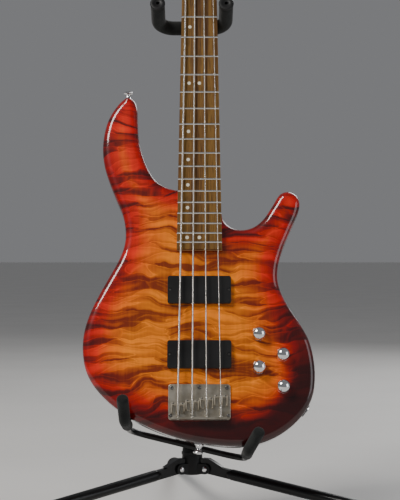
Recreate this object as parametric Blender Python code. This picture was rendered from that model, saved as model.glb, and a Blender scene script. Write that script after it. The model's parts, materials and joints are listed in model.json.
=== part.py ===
"""A four-string electric bass guitar resting on a folding tripod stand.

Sizes are in millimetres; place() scales every mesh to metres.
Stand axes: the mast stands on X = Y = 0, the floor is Z = 0 and the guitar faces -Y.
Guitar axes: x to the treble side, y from the face of the body to its back, and
z along the strings to the headstock, with zero at the string saddles.
"""
import math

import bmesh
import bpy
from mathutils import Euler, Matrix, Vector
from mathutils.geometry import convex_hull_2d, intersect_point_line

MM = 0.001
GAP = 0.3  # clearance between pieces that meet
PIN_PLAY = 0.3  # radial clearance of a pin, shaft or tube in its bore
WELD = 1e-4
SHARP_EDGE = math.radians(35)
THROUGH = 80.0  # length of a cutter that goes right through

# Neck and fretboard
SCALE_LENGTH = 864.0
FRET_COUNT = 24
NUT_WIDTH = 40.0
BOARD_END_WIDTH = 62.0
BOARD_PAST_LAST_FRET = 10.0
BOARD_TOP = -9.0
BOARD_THICKNESS = 5.0
FRET_HEIGHT = 1.1
FRET_WIDTH = 2.6
NUT_LENGTH = 4.7
NUT_TOP = -12.0
HEEL_DEPTH = 15.7
NECK_DEPTH_LOW = 14.5
NECK_DEPTH_HIGH = 12.2

# Body
BODY_THICKNESS = 42.0
TOP_THICKNESS = 9.0
EDGE_WIDTH = 10.0
EDGE_DEPTH = 8.5
OUTLINE_BOARD_END = 206.0  # the board end that the outline below is drawn for
OUTLINE_STEPS = 1
OUTLINE = (
    (-31, 293), (-45, 297), (-59.5, 306), (-70, 321), (-78, 340), (-84, 362), (-86.4, 390),
    (-87.5, 412), (-92, 424), (-101, 428.3), (-108, 424.6), (-118, 413), (-128, 394.5),
    (-133.5, 372), (-134.8, 351), (-132, 328), (-124, 302.6), (-114, 277.5), (-105.2, 255.8),
    (-101.6, 233), (-102.7, 216.5), (-109, 197), (-125, 167), (-138.7, 141.4), (-150, 116),
    (-156.5, 91.6), (-157.5, 67), (-153, 42), (-142, 21), (-120.4, -2), (-90, -23), (-53.7, -40),
    (-16.4, -51.6), (16, -57), (45.5, -59.2), (73, -57.5), (101.4, -47.5), (125.5, -31),
    (143.9, -10), (153, 11), (155.7, 35), (153.8, 60), (147.3, 85.3), (136, 106.5), (121, 129.6),
    (111, 150), (106.9, 167), (107.5, 184), (114, 208), (125.5, 236), (136.5, 261.5),
    (138.7, 275.3), (134, 286), (123.4, 291.2), (112.5, 288), (101.5, 271.5), (88, 251.5),
    (74, 240.4), (58, 236.8), (43.4, 240.4), (34, 249), (31, 258),
)

# Pickups, bridge and strings
PICKUP_LENGTH = 86.0
PICKUP_WIDTH = 37.5
PICKUP_TOP = -6.5
PICKUP_BOTTOM = 13.0
PICKUP_CAVITY_FLOOR = 22.0
NECK_PICKUP_BELOW_BOARD = 55.2
BRIDGE_PICKUP_ABOVE_SADDLES = 62.4
PICKUP_CORNER = 3.0
STRINGS = (  # name, radius, saddle crown, side of its tuner, row of its tuner
    ("e", 1.27, -5.0, -1, 0),
    ("a", 1.02, -1.5, -1, 1),
    ("d", 0.76, 1.5, 1, 1),
    ("g", 0.57, 5.0, 1, 0),
)
STRING_PITCH_NUT = 10.0
STRING_PITCH_BRIDGE = 19.0
STRING_UNDERSIDE_NUT = -10.7
STRING_UNDERSIDE_BRIDGE = -13.5
BALL_END_RADIUS = 2.6
BRIDGE_WIDTH = 83.0
BRIDGE_LOW, BRIDGE_HIGH = -25.5, 22.5
BRIDGE_THICKNESS = 2.5
BRIDGE_CORNER = 4.0
BRIDGE_WALL = 3.0
BRIDGE_WALL_TOP = -11.5
STRING_HOLE_Y = -7.5
SADDLE_WIDTH = 18.4
SADDLE_FRONT, SADDLE_BACK = 2.0, 12.0
SADDLE_FRONT_DROP, SADDLE_BACK_DROP = 0.7, 7.5

# Controls
KNOBS = {
    "knob_neck_volume": (80.0, 90.0),
    "knob_bridge_volume": (112.0, 62.0),
    "knob_treble": (80.0, 45.0),
    "knob_bass": (112.0, 19.0),
}
KNOB_RADIUS = 8.75
KNOB_HEIGHT = 16.5
KNOB_LIFT = 0.8
POT_SHAFT_RADIUS = 3.0
POT_SHAFT_TOP = -10.5
POT_BUSHING_RADIUS = 3.7
POT_CAN_RADIUS = 8.0
POT_CAN_TOP = 11.0
CIRCUIT_FRONT, CIRCUIT_BACK = 20.0, 21.6
CIRCUIT_MARGIN = 12.0
CAVITY_MARGIN = 17.0
COVER_MARGIN = 21.0
COVER_THICKNESS = 2.0
JACK_NEAR = (144.0, -10.0)
JACK_Y = 28.5
JACK_FLANGE_RADIUS = 9.0
JACK_FLANGE = 2.5
JACK_BARREL_RADIUS = 6.0
JACK_LENGTH = 27.0
JACK_SOCKET_RADIUS = 3.2
JACK_SOCKET_DEPTH = 20.0
STRAP_BUTTONS = {"strap_button_horn": (-101.0, 428.3), "strap_button_tail": (0.0, -55.0)}
STRAP_SCREW_RADIUS = 1.9
STRAP_SCREW_LENGTH = 20.0

# Neck plate
PLATE_WIDTH, PLATE_LENGTH, PLATE_THICKNESS = 50.0, 38.0, 2.2
PLATE_ABOVE_BOARD_END = 18.5
PLATE_SCREW_X, PLATE_SCREW_Z = 18.0, 11.0
PLATE_SCREW_RADIUS = 2.3
PLATE_SCREW_TIP = 4.0

# Headstock and tuners
HEAD_FRONT, HEAD_BACK = -1.0, 12.5
HEAD_HALF_OUTLINE = (  # x, and z from the nut
    (20.5, 2), (25, 13), (35, 23), (40.5, 38), (39, 76), (40.5, 112), (41, 136), (31, 156), (12, 166),
)
TUNER_X = 24.0
TUNER_ROWS = (44.0, 108.0)
POST_RADIUS, POST_WAIST_RADIUS = 6.0, 4.8
POST_TOP = -22.0
POST_WIND_Y = -8.7
HOUSING_WIDTH, HOUSING_LENGTH, HOUSING_THICKNESS = 26.0, 34.0, 1.8
BUSHING_WALL = 2.4
FERRULE_RADIUS, FERRULE_THICKNESS = 11.5, 1.8
GEAR_TEETH = 20
GEAR_RADIUS, GEAR_ROOT_RADIUS = 8.0, 6.9
GEAR_FRONT, GEAR_BACK = 16.5, 21.5
GEAR_HUB_RADIUS, GEAR_HUB = 2.8, 1.5
WORM_RADIUS = 3.0
WORM_SHAFT_RADIUS = 2.0
WORM_Y, WORM_Z = 19.0, -11.5
EAR_INNER, EAR_OUTER = 8.5, 11.5
KEY_PADDLE_START, KEY_PADDLE_END = 21.0, 46.0
KEY_PADDLE_WIDTH, KEY_PADDLE_THICKNESS = 29.0, 6.0

# Mast, collar and hub
MAST_RADIUS, MAST_WALL = 12.5, 1.5
MAST_TOP = 430.0
SLIDER_RADIUS, SLIDER_WALL = 9.5, 1.5
SLIDER_LENGTH = 500.0
COLLAR_RADIUS = 17.0
COLLAR_BELOW, COLLAR_ABOVE = 15.0, 20.0
HEIGHT_KNOB_RADIUS = 14.0
HEIGHT_STEM_RADIUS = 3.0
BOSS_RADIUS, BOSS_END = 8.0, 24.0
HUB_RADIUS, HUB_NECK_RADIUS = 15.0, 14.0
HUB_BELOW, HUB_SHOULDER, HUB_ABOVE = 9.0, 16.0, 32.0
HUB_FLOOR = 4.0
CHEEK_RADIUS, CHEEK_THICKNESS = 7.5, 3.6

# Legs
LEGS = {"left": -56.0, "right": 65.0, "rear": 185.0}  # degrees round from -Y
LEG_PIVOT_RADIUS = 23.5
LEG_SLOPE = math.radians(9)
LEG_LENGTH = 370.0
LEG_TUBE_RADIUS, LEG_TUBE_WALL = 8.0, 1.2
LEG_TUBE_START = 40.0
LEG_BLADE_HALF = 6.5
LEG_BLADE_THICKNESS = 9.0
LEG_STOP_HIGH = 15.0
LEG_PIN_RADIUS = 2.5
FOOT_RADIUS, FOOT_FLAT = 13.0, 1.5
FOOT_BACK = 10.0  # from the end of the leg back to the ball of the foot
FOOT_SLEEVE = 34.0
FOOT_SLEEVE_WALL = 2.4
TUBE_SHORT_OF_END = 5.0

# Cradle
LEAN = math.radians(13)
CRADLE_HEIGHT = 124.6
CRADLE_ROD_RADIUS = 4.5
CRADLE_HALF_WIDTH = 84.0
CRADLE_DROP = 28.0
CRADLE_BAR_Y = -32.0
CRADLE_CORNER = 30.0
CRADLE_TIP_BEND = 14.0
CRADLE_FRONT_ROOM = 10.0
CRADLE_TIP_OUT, CRADLE_TIP_FORWARD, CRADLE_TIP_UP = 6.8, 26.0, 21.5
CRADLE_PAD_RADIUS = 7.8
CRADLE_PAD_BEHIND = 12.0
SLEEVE_RADIUS = 10.5
SLEEVE_FRONT, SLEEVE_BACK = -42.5, -21.0
PIVOT_PIN_RADIUS = 5.0
PIVOT_HEAD_RADIUS, PIVOT_HEAD = 9.0, 3.5
PIVOT_COLLAR_HALF = 15.0
GUITAR_OFFSET = 10.4

# Neck yoke
YOKE_HEIGHT = 704.0
YOKE_FORWARD = 22.0
YOKE_TILT = math.radians(22)
YOKE_ROD_RADIUS = 5.0
YOKE_PAD_RADIUS = 10.0
YOKE_NECK_ROOM = 2.0
YOKE_HALF_WIDTH = (NUT_WIDTH + BOARD_END_WIDTH) / 4 + GUITAR_OFFSET + YOKE_PAD_RADIUS + YOKE_NECK_ROOM
YOKE_CORNER = 22.0
YOKE_REACH = 64.0
YOKE_CAP_RADIUS, YOKE_CAP_HOLE, YOKE_CAP = 10.5, 2.5, 3.0
YOKE_STUB_RADIUS = 6.0
SOCKET_RADIUS = 11.5
SOCKET_BELOW, SOCKET_ABOVE = 32.0, 8.0
SLIDER_TOP_BELOW_YOKE = 9.0

BOARD_END = SCALE_LENGTH * 2 ** (-FRET_COUNT / 12) - BOARD_PAST_LAST_FRET
BOARD_BOTTOM = BOARD_TOP + BOARD_THICKNESS
NECK_TOP = BOARD_BOTTOM + GAP
POCKET_FLOOR = HEEL_DEPTH + GAP
NUT_END = SCALE_LENGTH + GAP + NUT_LENGTH
PIVOT_HEIGHT = (LEG_LENGTH - FOOT_BACK) * math.sin(LEG_SLOPE) + FOOT_RADIUS - FOOT_FLAT
LEG_BORE_RADIUS = LEG_PIN_RADIUS + PIN_PLAY
CHEEK_INNER = LEG_BLADE_THICKNESS / 2 + GAP
CHEEK_OUTER = CHEEK_INNER + CHEEK_THICKNESS
HOUSING_FRONT = HEAD_BACK + GAP
HOUSING_BACK = HOUSING_FRONT + HOUSING_THICKNESS

# Name: red, green, blue, roughness, metallic
LOOKS = {
    "sunburst_lacquer": (0.42, 0.09, 0.02, 0.12, 0.0),
    "dark_lacquer": (0.10, 0.012, 0.008, 0.15, 0.0),
    "maple": (0.62, 0.40, 0.20, 0.35, 0.0),
    "rosewood": (0.10, 0.045, 0.025, 0.5, 0.0),
    "bone": (0.85, 0.80, 0.68, 0.4, 0.0),
    "black_plastic": (0.015, 0.015, 0.016, 0.45, 0.0),
    "satin_nickel": (0.55, 0.54, 0.52, 0.35, 1.0),
    "chrome": (0.80, 0.80, 0.80, 0.08, 1.0),
    "steel_string": (0.62, 0.61, 0.58, 0.3, 1.0),
    "circuit_green": (0.02, 0.16, 0.06, 0.5, 0.0),
    "black_steel": (0.012, 0.012, 0.013, 0.35, 0.6),
    "black_rubber": (0.02, 0.02, 0.02, 0.8, 0.0),
    "grey_foam": (0.035, 0.036, 0.038, 0.95, 0.0),
}


def clear_scene():
    for leftover in list(bpy.data.objects):
        bpy.data.objects.remove(leftover)


def make_materials():
    for name, (red, green, blue, roughness, metallic) in LOOKS.items():
        material = bpy.data.materials.new(name)
        material.use_nodes = True
        shader = material.node_tree.nodes["Principled BSDF"]
        shader.inputs["Base Color"].default_value = (red, green, blue, 1)
        shader.inputs["Roughness"].default_value = roughness
        shader.inputs["Metallic"].default_value = metallic
        material.diffuse_color = (red, green, blue, 1)
        LOOKS[name] = material


def pivot(name, parent=None, at=(0, 0, 0), turn=(0, 0, 0)):
    """An empty that carries other pieces."""
    holder = bpy.data.objects.new(name, None)
    bpy.context.scene.collection.objects.link(holder)
    holder.parent = parent
    holder.location = Vector(at) * MM
    holder.rotation_euler = turn
    return holder


def place(name, shape, look, parent, at=(0, 0, 0), turn=(0, 0, 0)):
    """Names a finished shape, scales it to metres, gives it its material and sets it in place."""
    mesh = shape.data
    mesh.transform(Matrix.Scale(MM, 4))
    mesh.materials.clear()
    mesh.materials.append(LOOKS[look])
    mesh.shade_smooth()
    mesh.set_sharp_from_angle(angle=SHARP_EDGE)
    shape.name = mesh.name = name
    shape.parent = parent
    shape.location = Vector(at) * MM
    shape.rotation_euler = turn
    return shape


def loose_object(mesh):
    shape = bpy.data.objects.new("shape", mesh)
    bpy.context.scene.collection.objects.link(shape)
    return shape


def closed_shape(bm):
    """Welds a bmesh, turns its faces outwards and makes it an object."""
    bmesh.ops.remove_doubles(bm, verts=bm.verts, dist=WELD)
    bmesh.ops.recalc_face_normals(bm, faces=bm.faces)
    mesh = bpy.data.meshes.new("shape")
    bm.to_mesh(mesh)
    bm.free()
    return loose_object(mesh)


def moved(shape, at=(0, 0, 0), turn=(0, 0, 0)):
    shape.data.transform(Matrix.LocRotScale(Vector(at), Euler(turn), None))
    shape.data.update_tag()
    return shape


def boolean(operation, body, *tools):
    """Applies exact Booleans with each tool in turn, and removes the tools."""
    for tool in tools:
        step = body.modifiers.new("step", "BOOLEAN")
        step.operation = operation
        step.solver = "EXACT"
        step.object = tool
    graph = bpy.context.evaluated_depsgraph_get()
    result = bpy.data.meshes.new_from_object(body.evaluated_get(graph))
    body.modifiers.clear()
    body.data = result
    for tool in tools:
        bpy.data.objects.remove(tool)
    return body


def cut(body, *tools):
    return boolean("DIFFERENCE", body, *tools)


def joined(body, *tools):
    return boolean("UNION", body, *tools)


def along(axis, first, second, level):
    """A point from its two plane coordinates and its level on the axis."""
    return {
        "x": (level, first, second),
        "y": (first, level, second),
        "z": (first, second, level),
    }[axis]


def loft(rings, closed=False):
    """A solid through rings of equally many points: capped, or bent round onto its first ring."""
    bm = bmesh.new()
    loops = [[bm.verts.new(point) for point in ring] for ring in rings]
    following = loops[1:] + loops[:1] if closed else loops[1:]
    for lower, upper in zip(loops, following):
        for i, corner in enumerate(lower):
            j = (i + 1) % len(lower)
            bm.faces.new((corner, lower[j], upper[j], upper[i]))
    if not closed:
        bm.faces.new(loops[0])
        bm.faces.new(loops[-1])
    return closed_shape(bm)


def prism(outline, start, end, axis="y"):
    return loft([[along(axis, a, b, level) for a, b in outline] for level in (start, end)])


def box(low, high):
    (x0, y0, z0), (x1, y1, z1) = low, high
    return prism(((x0, y0), (x1, y0), (x1, y1), (x0, y1)), z0, z1, "z")


def circle(radius, centre=(0, 0), steps=12):
    turns = [math.tau * i / steps for i in range(steps)]
    return [(centre[0] + radius * math.cos(t), centre[1] + radius * math.sin(t)) for t in turns]


def turned(profile, axis="z", centre=(0, 0), steps=12, closed=False):
    """A turned solid from (radius, level) pairs, with a bore where the profile is closed."""
    rings = [
        [along(axis, a, b, level) for a, b in circle(radius, centre, steps)]
        for radius, level in profile
    ]
    return loft(rings, closed)


def disc(radius, start, end, axis="z", centre=(0, 0), steps=12):
    return turned(((radius, start), (radius, end)), axis, centre, steps)


def ring(inner, outer, start, end, axis="z", steps=16):
    profile = ((inner, start), (outer, start), (outer, end), (inner, end))
    return turned(profile, axis, steps=steps, closed=True)


def hull_of_circles(centres, radius, steps=16):
    """The outline of a belt round equal circles."""
    points = [Vector(point) for centre in centres for point in circle(radius, centre, steps)]
    return [points[i] for i in convex_hull_2d(points)]


def rounded_rectangle(width, height, corner, centre=(0, 0)):
    x, z = width / 2 - corner, height / 2 - corner
    corners = [(centre[0] + i * x, centre[1] + k * z) for i in (-1, 1) for k in (-1, 1)]
    return hull_of_circles(corners, corner, 8)


def rounded_path(corners, fillets, step=math.radians(22.5)):
    """Straight runs between corners, with each inner corner rounded to its fillet radius."""
    points = [corners[0]]
    for before, corner, after, radius in zip(corners, corners[1:], corners[2:], fillets):
        back, onward = (before - corner).normalized(), (after - corner).normalized()
        half = back.angle(onward) / 2
        centre = corner + (back + onward).normalized() * radius / math.sin(half)
        first = corner + back * radius / math.tan(half) - centre
        last = corner + onward * radius / math.tan(half) - centre
        count = math.ceil((math.pi - 2 * half) / step)
        points += [centre + first.slerp(last, i / count).normalized() * radius for i in range(count + 1)]
    return points + [corners[-1]]


def rod(points, radius, steps=10, swell=None):
    """A round bar along the points; swell holds each point's share of the radius."""
    runs = [(after - before).normalized() for before, after in zip(points, points[1:])]
    headings = [runs[0], *[(a + b).normalized() for a, b in zip(runs, runs[1:])], runs[-1]]
    side = headings[0].orthogonal().normalized()
    rings = []
    for i, (centre, heading) in enumerate(zip(points, headings)):
        side = (side - heading * side.dot(heading)).normalized()
        other = heading.cross(side)
        reach = radius * (swell[i] if swell else 1)
        rings.append([centre + side * a + other * b for a, b in circle(reach, steps=steps)])
    return loft(rings)


def sleeve_bore(points, radius, steps=8):
    """Cutter for a sleeve round a rod: its flats stay clear of the rod whichever way they face."""
    return rod(points, (radius + GAP) / math.cos(math.pi / steps), steps)


def domed_rod(points, radius, steps=10, dome_steps=3):
    """A rod whose last end is half a ball."""
    onward = (points[-1] - points[-2]).normalized() * radius
    turns = [math.radians(84) * i / dome_steps for i in range(1, dome_steps + 1)]
    tip = [points[-1] + onward * math.sin(turn) for turn in turns]
    swell = [1] * len(points) + [math.cos(turn) for turn in turns]
    return rod(points + tip, radius, steps, swell)


def smooth_through(points, steps):
    """Points on a centripetal Catmull-Rom curve through the given ones."""
    points = [Vector(point) for point in points]
    guides = [2 * points[0] - points[1], *points, 2 * points[-1] - points[-2]]
    found = []
    for a, b, c, d in zip(guides, guides[1:], guides[2:], guides[3:]):
        knots = [0.0]
        for near, far in ((a, b), (b, c), (c, d)):
            knots.append(knots[-1] + math.sqrt((far - near).length))
        for i in range(steps):
            t = knots[1] + (knots[2] - knots[1]) * i / steps
            level = [a, b, c, d]
            for spans in (((0, 1), (1, 2), (2, 3)), ((0, 2), (1, 3)), ((1, 2),)):
                level = [
                    near.lerp(far, (t - knots[first]) / (knots[last] - knots[first]))
                    for near, far, (first, last) in zip(level, level[1:], spans)
                ]
            found.append(level[0])
    return found + [points[-1]]


# ---------------------------------------------------------------- guitar body


def body_outline():
    """The body's edge, anticlockwise from the neck; its upper part follows the board's end."""
    stretch = BOARD_END / OUTLINE_BOARD_END
    return smooth_through([(x, z * stretch if z > 0 else z) for x, z in OUTLINE], OUTLINE_STEPS)


def outward(outline, i):
    ahead = outline[(i + 1) % len(outline)] - outline[i - 1]
    return Vector((ahead.y, -ahead.x)).normalized()


def room_inside(outline, i):
    """Radius of the largest disc inside the outline that touches it at one point."""
    here, inward = outline[i], -outward(outline, i)
    reaches = [(other - here, (other - here).dot(inward)) for other in outline]
    return min(arm.length_squared / (2 * depth) for arm, depth in reaches if depth > WELD)


def edge_at(outline, near):
    """The outline's point nearest to a place, and the turn about y that points z out of it."""
    i = min(range(len(outline)), key=lambda k: (outline[k] - Vector(near)).length)
    normal = outward(outline, i)
    return outline[i], (0, math.atan2(normal.x, normal.y), 0)


def body_half(outline, joint_y, edge_y, face_y, round_steps=2):
    """Half of the body, from the glue joint to the face, with a wide rounded edge."""
    widths = [min(EDGE_WIDTH, 0.8 * room_inside(outline, i)) for i in range(len(outline))]
    levels = [(0, joint_y)]
    for k in range(round_steps + 1):
        turn = math.pi / 2 * k / round_steps
        levels.append((1 - math.cos(turn), edge_y + (face_y - edge_y) * math.sin(turn)))
    rings = []
    for share, y in levels:
        inset = [p - outward(outline, i) * widths[i] * share for i, p in enumerate(outline)]
        rings.append([(p.x, y, p.y) for p in inset])
    return loft(rings)


def board_half_width(z):
    share = (SCALE_LENGTH - z) / (SCALE_LENGTH - BOARD_END)
    return (NUT_WIDTH + (BOARD_END_WIDTH - NUT_WIDTH) * share) / 2


def neck_pocket(mouth):
    """Cutter of the pocket that takes the neck's heel."""
    low, high = BOARD_END - GAP, mouth + THROUGH
    wide, narrow = board_half_width(low) + GAP, board_half_width(high) + GAP
    outline = ((-wide, low), (wide, low), (narrow, high), (-narrow, high))
    return prism(outline, -THROUGH, POCKET_FLOOR)


def pickup_places():
    return {
        "neck_pickup": BOARD_END - NECK_PICKUP_BELOW_BOARD,
        "bridge_pickup": BRIDGE_PICKUP_ABOVE_SADDLES,
    }


def pickup_cavities():
    outlines = [
        rounded_rectangle(PICKUP_LENGTH + 2 * GAP, PICKUP_WIDTH + 2 * GAP, PICKUP_CORNER, (0, z))
        for z in pickup_places().values()
    ]
    return [prism(outline, -THROUGH, PICKUP_CAVITY_FLOOR) for outline in outlines]


def plate_screws():
    middle = BOARD_END + PLATE_ABOVE_BOARD_END
    return [(i * PLATE_SCREW_X, middle + k * PLATE_SCREW_Z) for i in (-1, 1) for k in (-1, 1)]


def screw_holes(front):
    radius = PLATE_SCREW_RADIUS + PIN_PLAY
    return [disc(radius, front, THROUGH, "y", place_of_screw, 8) for place_of_screw in plate_screws()]


def build_body(guitar, outline):
    mouth = outline[0].y
    top = body_half(outline, TOP_THICKNESS, EDGE_DEPTH, 0)
    pot_holes = [
        disc(POT_BUSHING_RADIUS + GAP, -THROUGH, THROUGH, "y", centre, 10) for centre in KNOBS.values()
    ]
    cut(top, neck_pocket(mouth), *pickup_cavities(), *pot_holes)
    place("body_top", top, "sunburst_lacquer", guitar)

    joint_y = TOP_THICKNESS + GAP
    back = body_half(outline, joint_y, BODY_THICKNESS - EDGE_DEPTH, BODY_THICKNESS)
    recess_floor = BODY_THICKNESS - COVER_THICKNESS - GAP
    cavity = prism(hull_of_circles(KNOBS.values(), CAVITY_MARGIN), -THROUGH, THROUGH)
    recess = prism(hull_of_circles(KNOBS.values(), COVER_MARGIN + GAP), recess_floor, THROUGH)
    cut(back, neck_pocket(mouth), *pickup_cavities(), cavity, recess, *screw_holes(0))
    jack_place, jack_turn = edge_at(outline, JACK_NEAR)
    spot_face = disc(JACK_FLANGE_RADIUS + GAP, -JACK_FLANGE - GAP, THROUGH)
    jack_hole = disc(JACK_BARREL_RADIUS + GAP, -JACK_LENGTH - JACK_FLANGE - 5, 0)
    jack_at = (jack_place.x, JACK_Y, jack_place.y)
    sockets = [moved(tool, jack_at, jack_turn) for tool in (spot_face, jack_hole)]
    for near in STRAP_BUTTONS.values():
        spot, turn = edge_at(outline, near)
        hole = disc(STRAP_SCREW_RADIUS + PIN_PLAY, -STRAP_SCREW_LENGTH - 1, THROUGH, steps=10)
        sockets.append(moved(hole, (spot.x, BODY_THICKNESS / 2, spot.y), turn))
    cut(back, *sockets)
    place("body_back", back, "dark_lacquer", guitar)

    cover = prism(hull_of_circles(KNOBS.values(), COVER_MARGIN), recess_floor + GAP, BODY_THICKNESS)
    place("control_cover", cover, "black_plastic", guitar)


# ------------------------------------------------------- neck, board and nut


def neck_sections(mouth):
    """Level, depth of the back and squareness of each section of the neck, from the heel up."""
    return (
        (BOARD_END, HEEL_DEPTH, 10),
        (mouth + 2, HEEL_DEPTH, 10),
        (mouth + 25, HEEL_DEPTH - 0.7, 4),
        (mouth + 55, NECK_DEPTH_LOW + 0.2, 2.6),
        (SCALE_LENGTH / 2, NECK_DEPTH_LOW, 2.4),
        (SCALE_LENGTH - 48, NECK_DEPTH_HIGH, 2.3),
        (NUT_END + 3, NECK_DEPTH_HIGH, 2.3),
    )


def neck_back_at(z, mouth):
    """Depth of the neck's back at a level."""
    sections = neck_sections(mouth)
    for (low, deep, _), (high, shallow, _) in zip(sections, sections[1:]):
        if low <= z <= high:
            return deep + (shallow - deep) * (z - low) / (high - low)
    return HEEL_DEPTH


def neck_ring(z, depth, squareness, steps=12):
    """Flat on the board side, and a superellipse round the back."""
    half, height = board_half_width(min(z, SCALE_LENGTH)), depth - NECK_TOP
    points = []
    for i in range(steps + 1):
        turn = math.pi * i / steps
        across = math.copysign(abs(math.cos(turn)) ** (2 / squareness), math.cos(turn))
        points.append((half * across, NECK_TOP + height * math.sin(turn) ** (2 / squareness), z))
    return points


def tuner_places():
    """Each string's tuner: its side and where its post stands."""
    return {
        name: (side, side * TUNER_X, SCALE_LENGTH + TUNER_ROWS[row]) for name, _, _, side, row in STRINGS
    }


def build_neck(guitar, mouth):
    neck = loft([neck_ring(*section) for section in neck_sections(mouth)])
    right = [(x, SCALE_LENGTH + z) for x, z in HEAD_HALF_OUTLINE]
    left = [(-x, z) for x, z in reversed(right)]
    head = prism(smooth_through(right + left, 2), HEAD_FRONT, HEAD_BACK)
    joined(neck, head)
    hole = POST_RADIUS + PIN_PLAY + BUSHING_WALL + GAP
    posts = [disc(hole, -THROUGH, THROUGH, "y", (x, z)) for _, x, z in tuner_places().values()]
    cut(neck, *posts, *screw_holes(PLATE_SCREW_TIP - GAP))
    place("neck", neck, "maple", guitar)


def fret_at(number):
    return SCALE_LENGTH * 2 ** (-number / 12)


def build_fretboard(guitar):
    """The board's side profile with its frets, spread to both sides and tapered to the nut."""
    profile = [(BOARD_TOP, BOARD_END)]
    crown, half = BOARD_TOP - FRET_HEIGHT, FRET_WIDTH / 2
    for number in range(FRET_COUNT, 0, -1):
        z = fret_at(number)
        profile += [(BOARD_TOP, z - half), (crown, z - half / 2)]
        profile += [(crown, z + half / 2), (BOARD_TOP, z + half)]
    profile += [(BOARD_TOP, SCALE_LENGTH), (BOARD_BOTTOM, SCALE_LENGTH), (BOARD_BOTTOM, BOARD_END)]
    sides = [[(side * board_half_width(z), y, z) for y, z in profile] for side in (-1, 1)]
    place("fretboard", loft(sides), "rosewood", guitar)


def string_y(radius, z):
    """Level of a string's centre between the nut and the saddles."""
    share = z / SCALE_LENGTH
    return STRING_UNDERSIDE_BRIDGE + (STRING_UNDERSIDE_NUT - STRING_UNDERSIDE_BRIDGE) * share - radius


def string_x(i, z):
    pitch = STRING_PITCH_BRIDGE + (STRING_PITCH_NUT - STRING_PITCH_BRIDGE) * z / SCALE_LENGTH
    return (i - (len(STRINGS) - 1) / 2) * pitch


def build_nut(guitar):
    start = SCALE_LENGTH + GAP
    nut = box((-NUT_WIDTH / 2, NUT_TOP, start), (NUT_WIDTH / 2, BOARD_BOTTOM, NUT_END))
    slots = []
    for i, (_, radius, *_) in enumerate(STRINGS):
        x, half = string_x(i, SCALE_LENGTH), radius + GAP
        floor = STRING_UNDERSIDE_NUT + GAP
        slots.append(box((x - half, -THROUGH, start - 5), (x + half, floor, NUT_END + 5)))
    place("nut", cut(nut, *slots), "bone", guitar)


def build_neck_plate(guitar):
    front = BODY_THICKNESS + GAP
    outline = rounded_rectangle(
        PLATE_WIDTH, PLATE_LENGTH, 4, (0, BOARD_END + PLATE_ABOVE_BOARD_END)
    )
    plate = prism(outline, front, front + PLATE_THICKNESS)
    back = front + PLATE_THICKNESS
    head = ((PLATE_SCREW_RADIUS, PLATE_SCREW_TIP), (PLATE_SCREW_RADIUS, back - 0.5), (4.2, back - 0.4),
            (4.2, back + 0.8), (2.6, back + 1.8))
    screws = [turned(head, "y", spot, 8) for spot in plate_screws()]
    place("neck_plate", joined(plate, *screws), "chrome", guitar)


# ------------------------------------------------- pickups, bridge and strings


def build_pickups(guitar):
    for name, z in pickup_places().items():
        outline = rounded_rectangle(PICKUP_LENGTH, PICKUP_WIDTH, PICKUP_CORNER)
        place(name, prism(outline, PICKUP_TOP, PICKUP_BOTTOM), "black_plastic", guitar, (0, 0, z))


def build_bridge(guitar):
    face, plate_front = -GAP, -GAP - BRIDGE_THICKNESS
    middle, length = (BRIDGE_LOW + BRIDGE_HIGH) / 2, BRIDGE_HIGH - BRIDGE_LOW
    plate = prism(rounded_rectangle(BRIDGE_WIDTH, length, BRIDGE_CORNER, (0, middle)), plate_front, face)
    half = BRIDGE_WIDTH / 2 - BRIDGE_CORNER
    wall_low, wall_high = BRIDGE_LOW + 0.2, BRIDGE_LOW + BRIDGE_WALL
    wall = box((-half, BRIDGE_WALL_TOP, wall_low), (half, plate_front + 1, wall_high))
    joined(plate, wall)
    holes = []
    for i, (_, radius, *_) in enumerate(STRINGS):
        centre = (string_x(i, 0), STRING_HOLE_Y)
        holes.append(disc(radius + PIN_PLAY, wall_low - 5, wall_high + 5, "z", centre, 10))
    place("bridge_plate", cut(plate, *holes), "satin_nickel", guitar)

    bottom, crown = plate_front - GAP, STRING_UNDERSIDE_BRIDGE + GAP
    for i, (name, _, crown_z, *_) in enumerate(STRINGS):
        profile = (
            (bottom, SADDLE_FRONT),
            (crown + SADDLE_FRONT_DROP, SADDLE_FRONT),
            (crown, 0),
            (crown + SADDLE_BACK_DROP, -SADDLE_BACK),
            (bottom, -SADDLE_BACK),
        )
        saddle = prism(profile, -SADDLE_WIDTH / 2, SADDLE_WIDTH / 2, "x")
        place(f"saddle_{name}", saddle, "satin_nickel", guitar, (string_x(i, 0), 0, crown_z))


def build_strings(guitar):
    """Each string runs from the waist of its post over the nut and saddle to its ball end."""
    tuners = tuner_places()
    for i, (name, radius, crown_z, *_) in enumerate(STRINGS):
        side, post_x, post_z = tuners[name]
        over_nut = NUT_END + GAP
        low_x, ball = string_x(i, 0), BALL_END_RADIUS / radius
        path = [
            (post_x - side * (POST_WAIST_RADIUS + GAP + radius), POST_WIND_Y, post_z),
            (string_x(i, over_nut), string_y(radius, over_nut), over_nut),
            (string_x(i, crown_z), string_y(radius, crown_z), crown_z),
            (low_x, STRING_HOLE_Y, BRIDGE_LOW + BRIDGE_WALL + 1),
            (low_x, STRING_HOLE_Y, BRIDGE_LOW - GAP),
            (low_x, STRING_HOLE_Y, BRIDGE_LOW - GAP - 0.1),
            (low_x, STRING_HOLE_Y, BRIDGE_LOW - GAP - 3),
        ]
        string = rod([Vector(point) for point in path], radius, 6, [1, 1, 1, 1, 1, ball, ball])
        place(f"string_{name}", string, "steel_string", guitar)


# -------------------------------------------------------------------- controls


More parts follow.
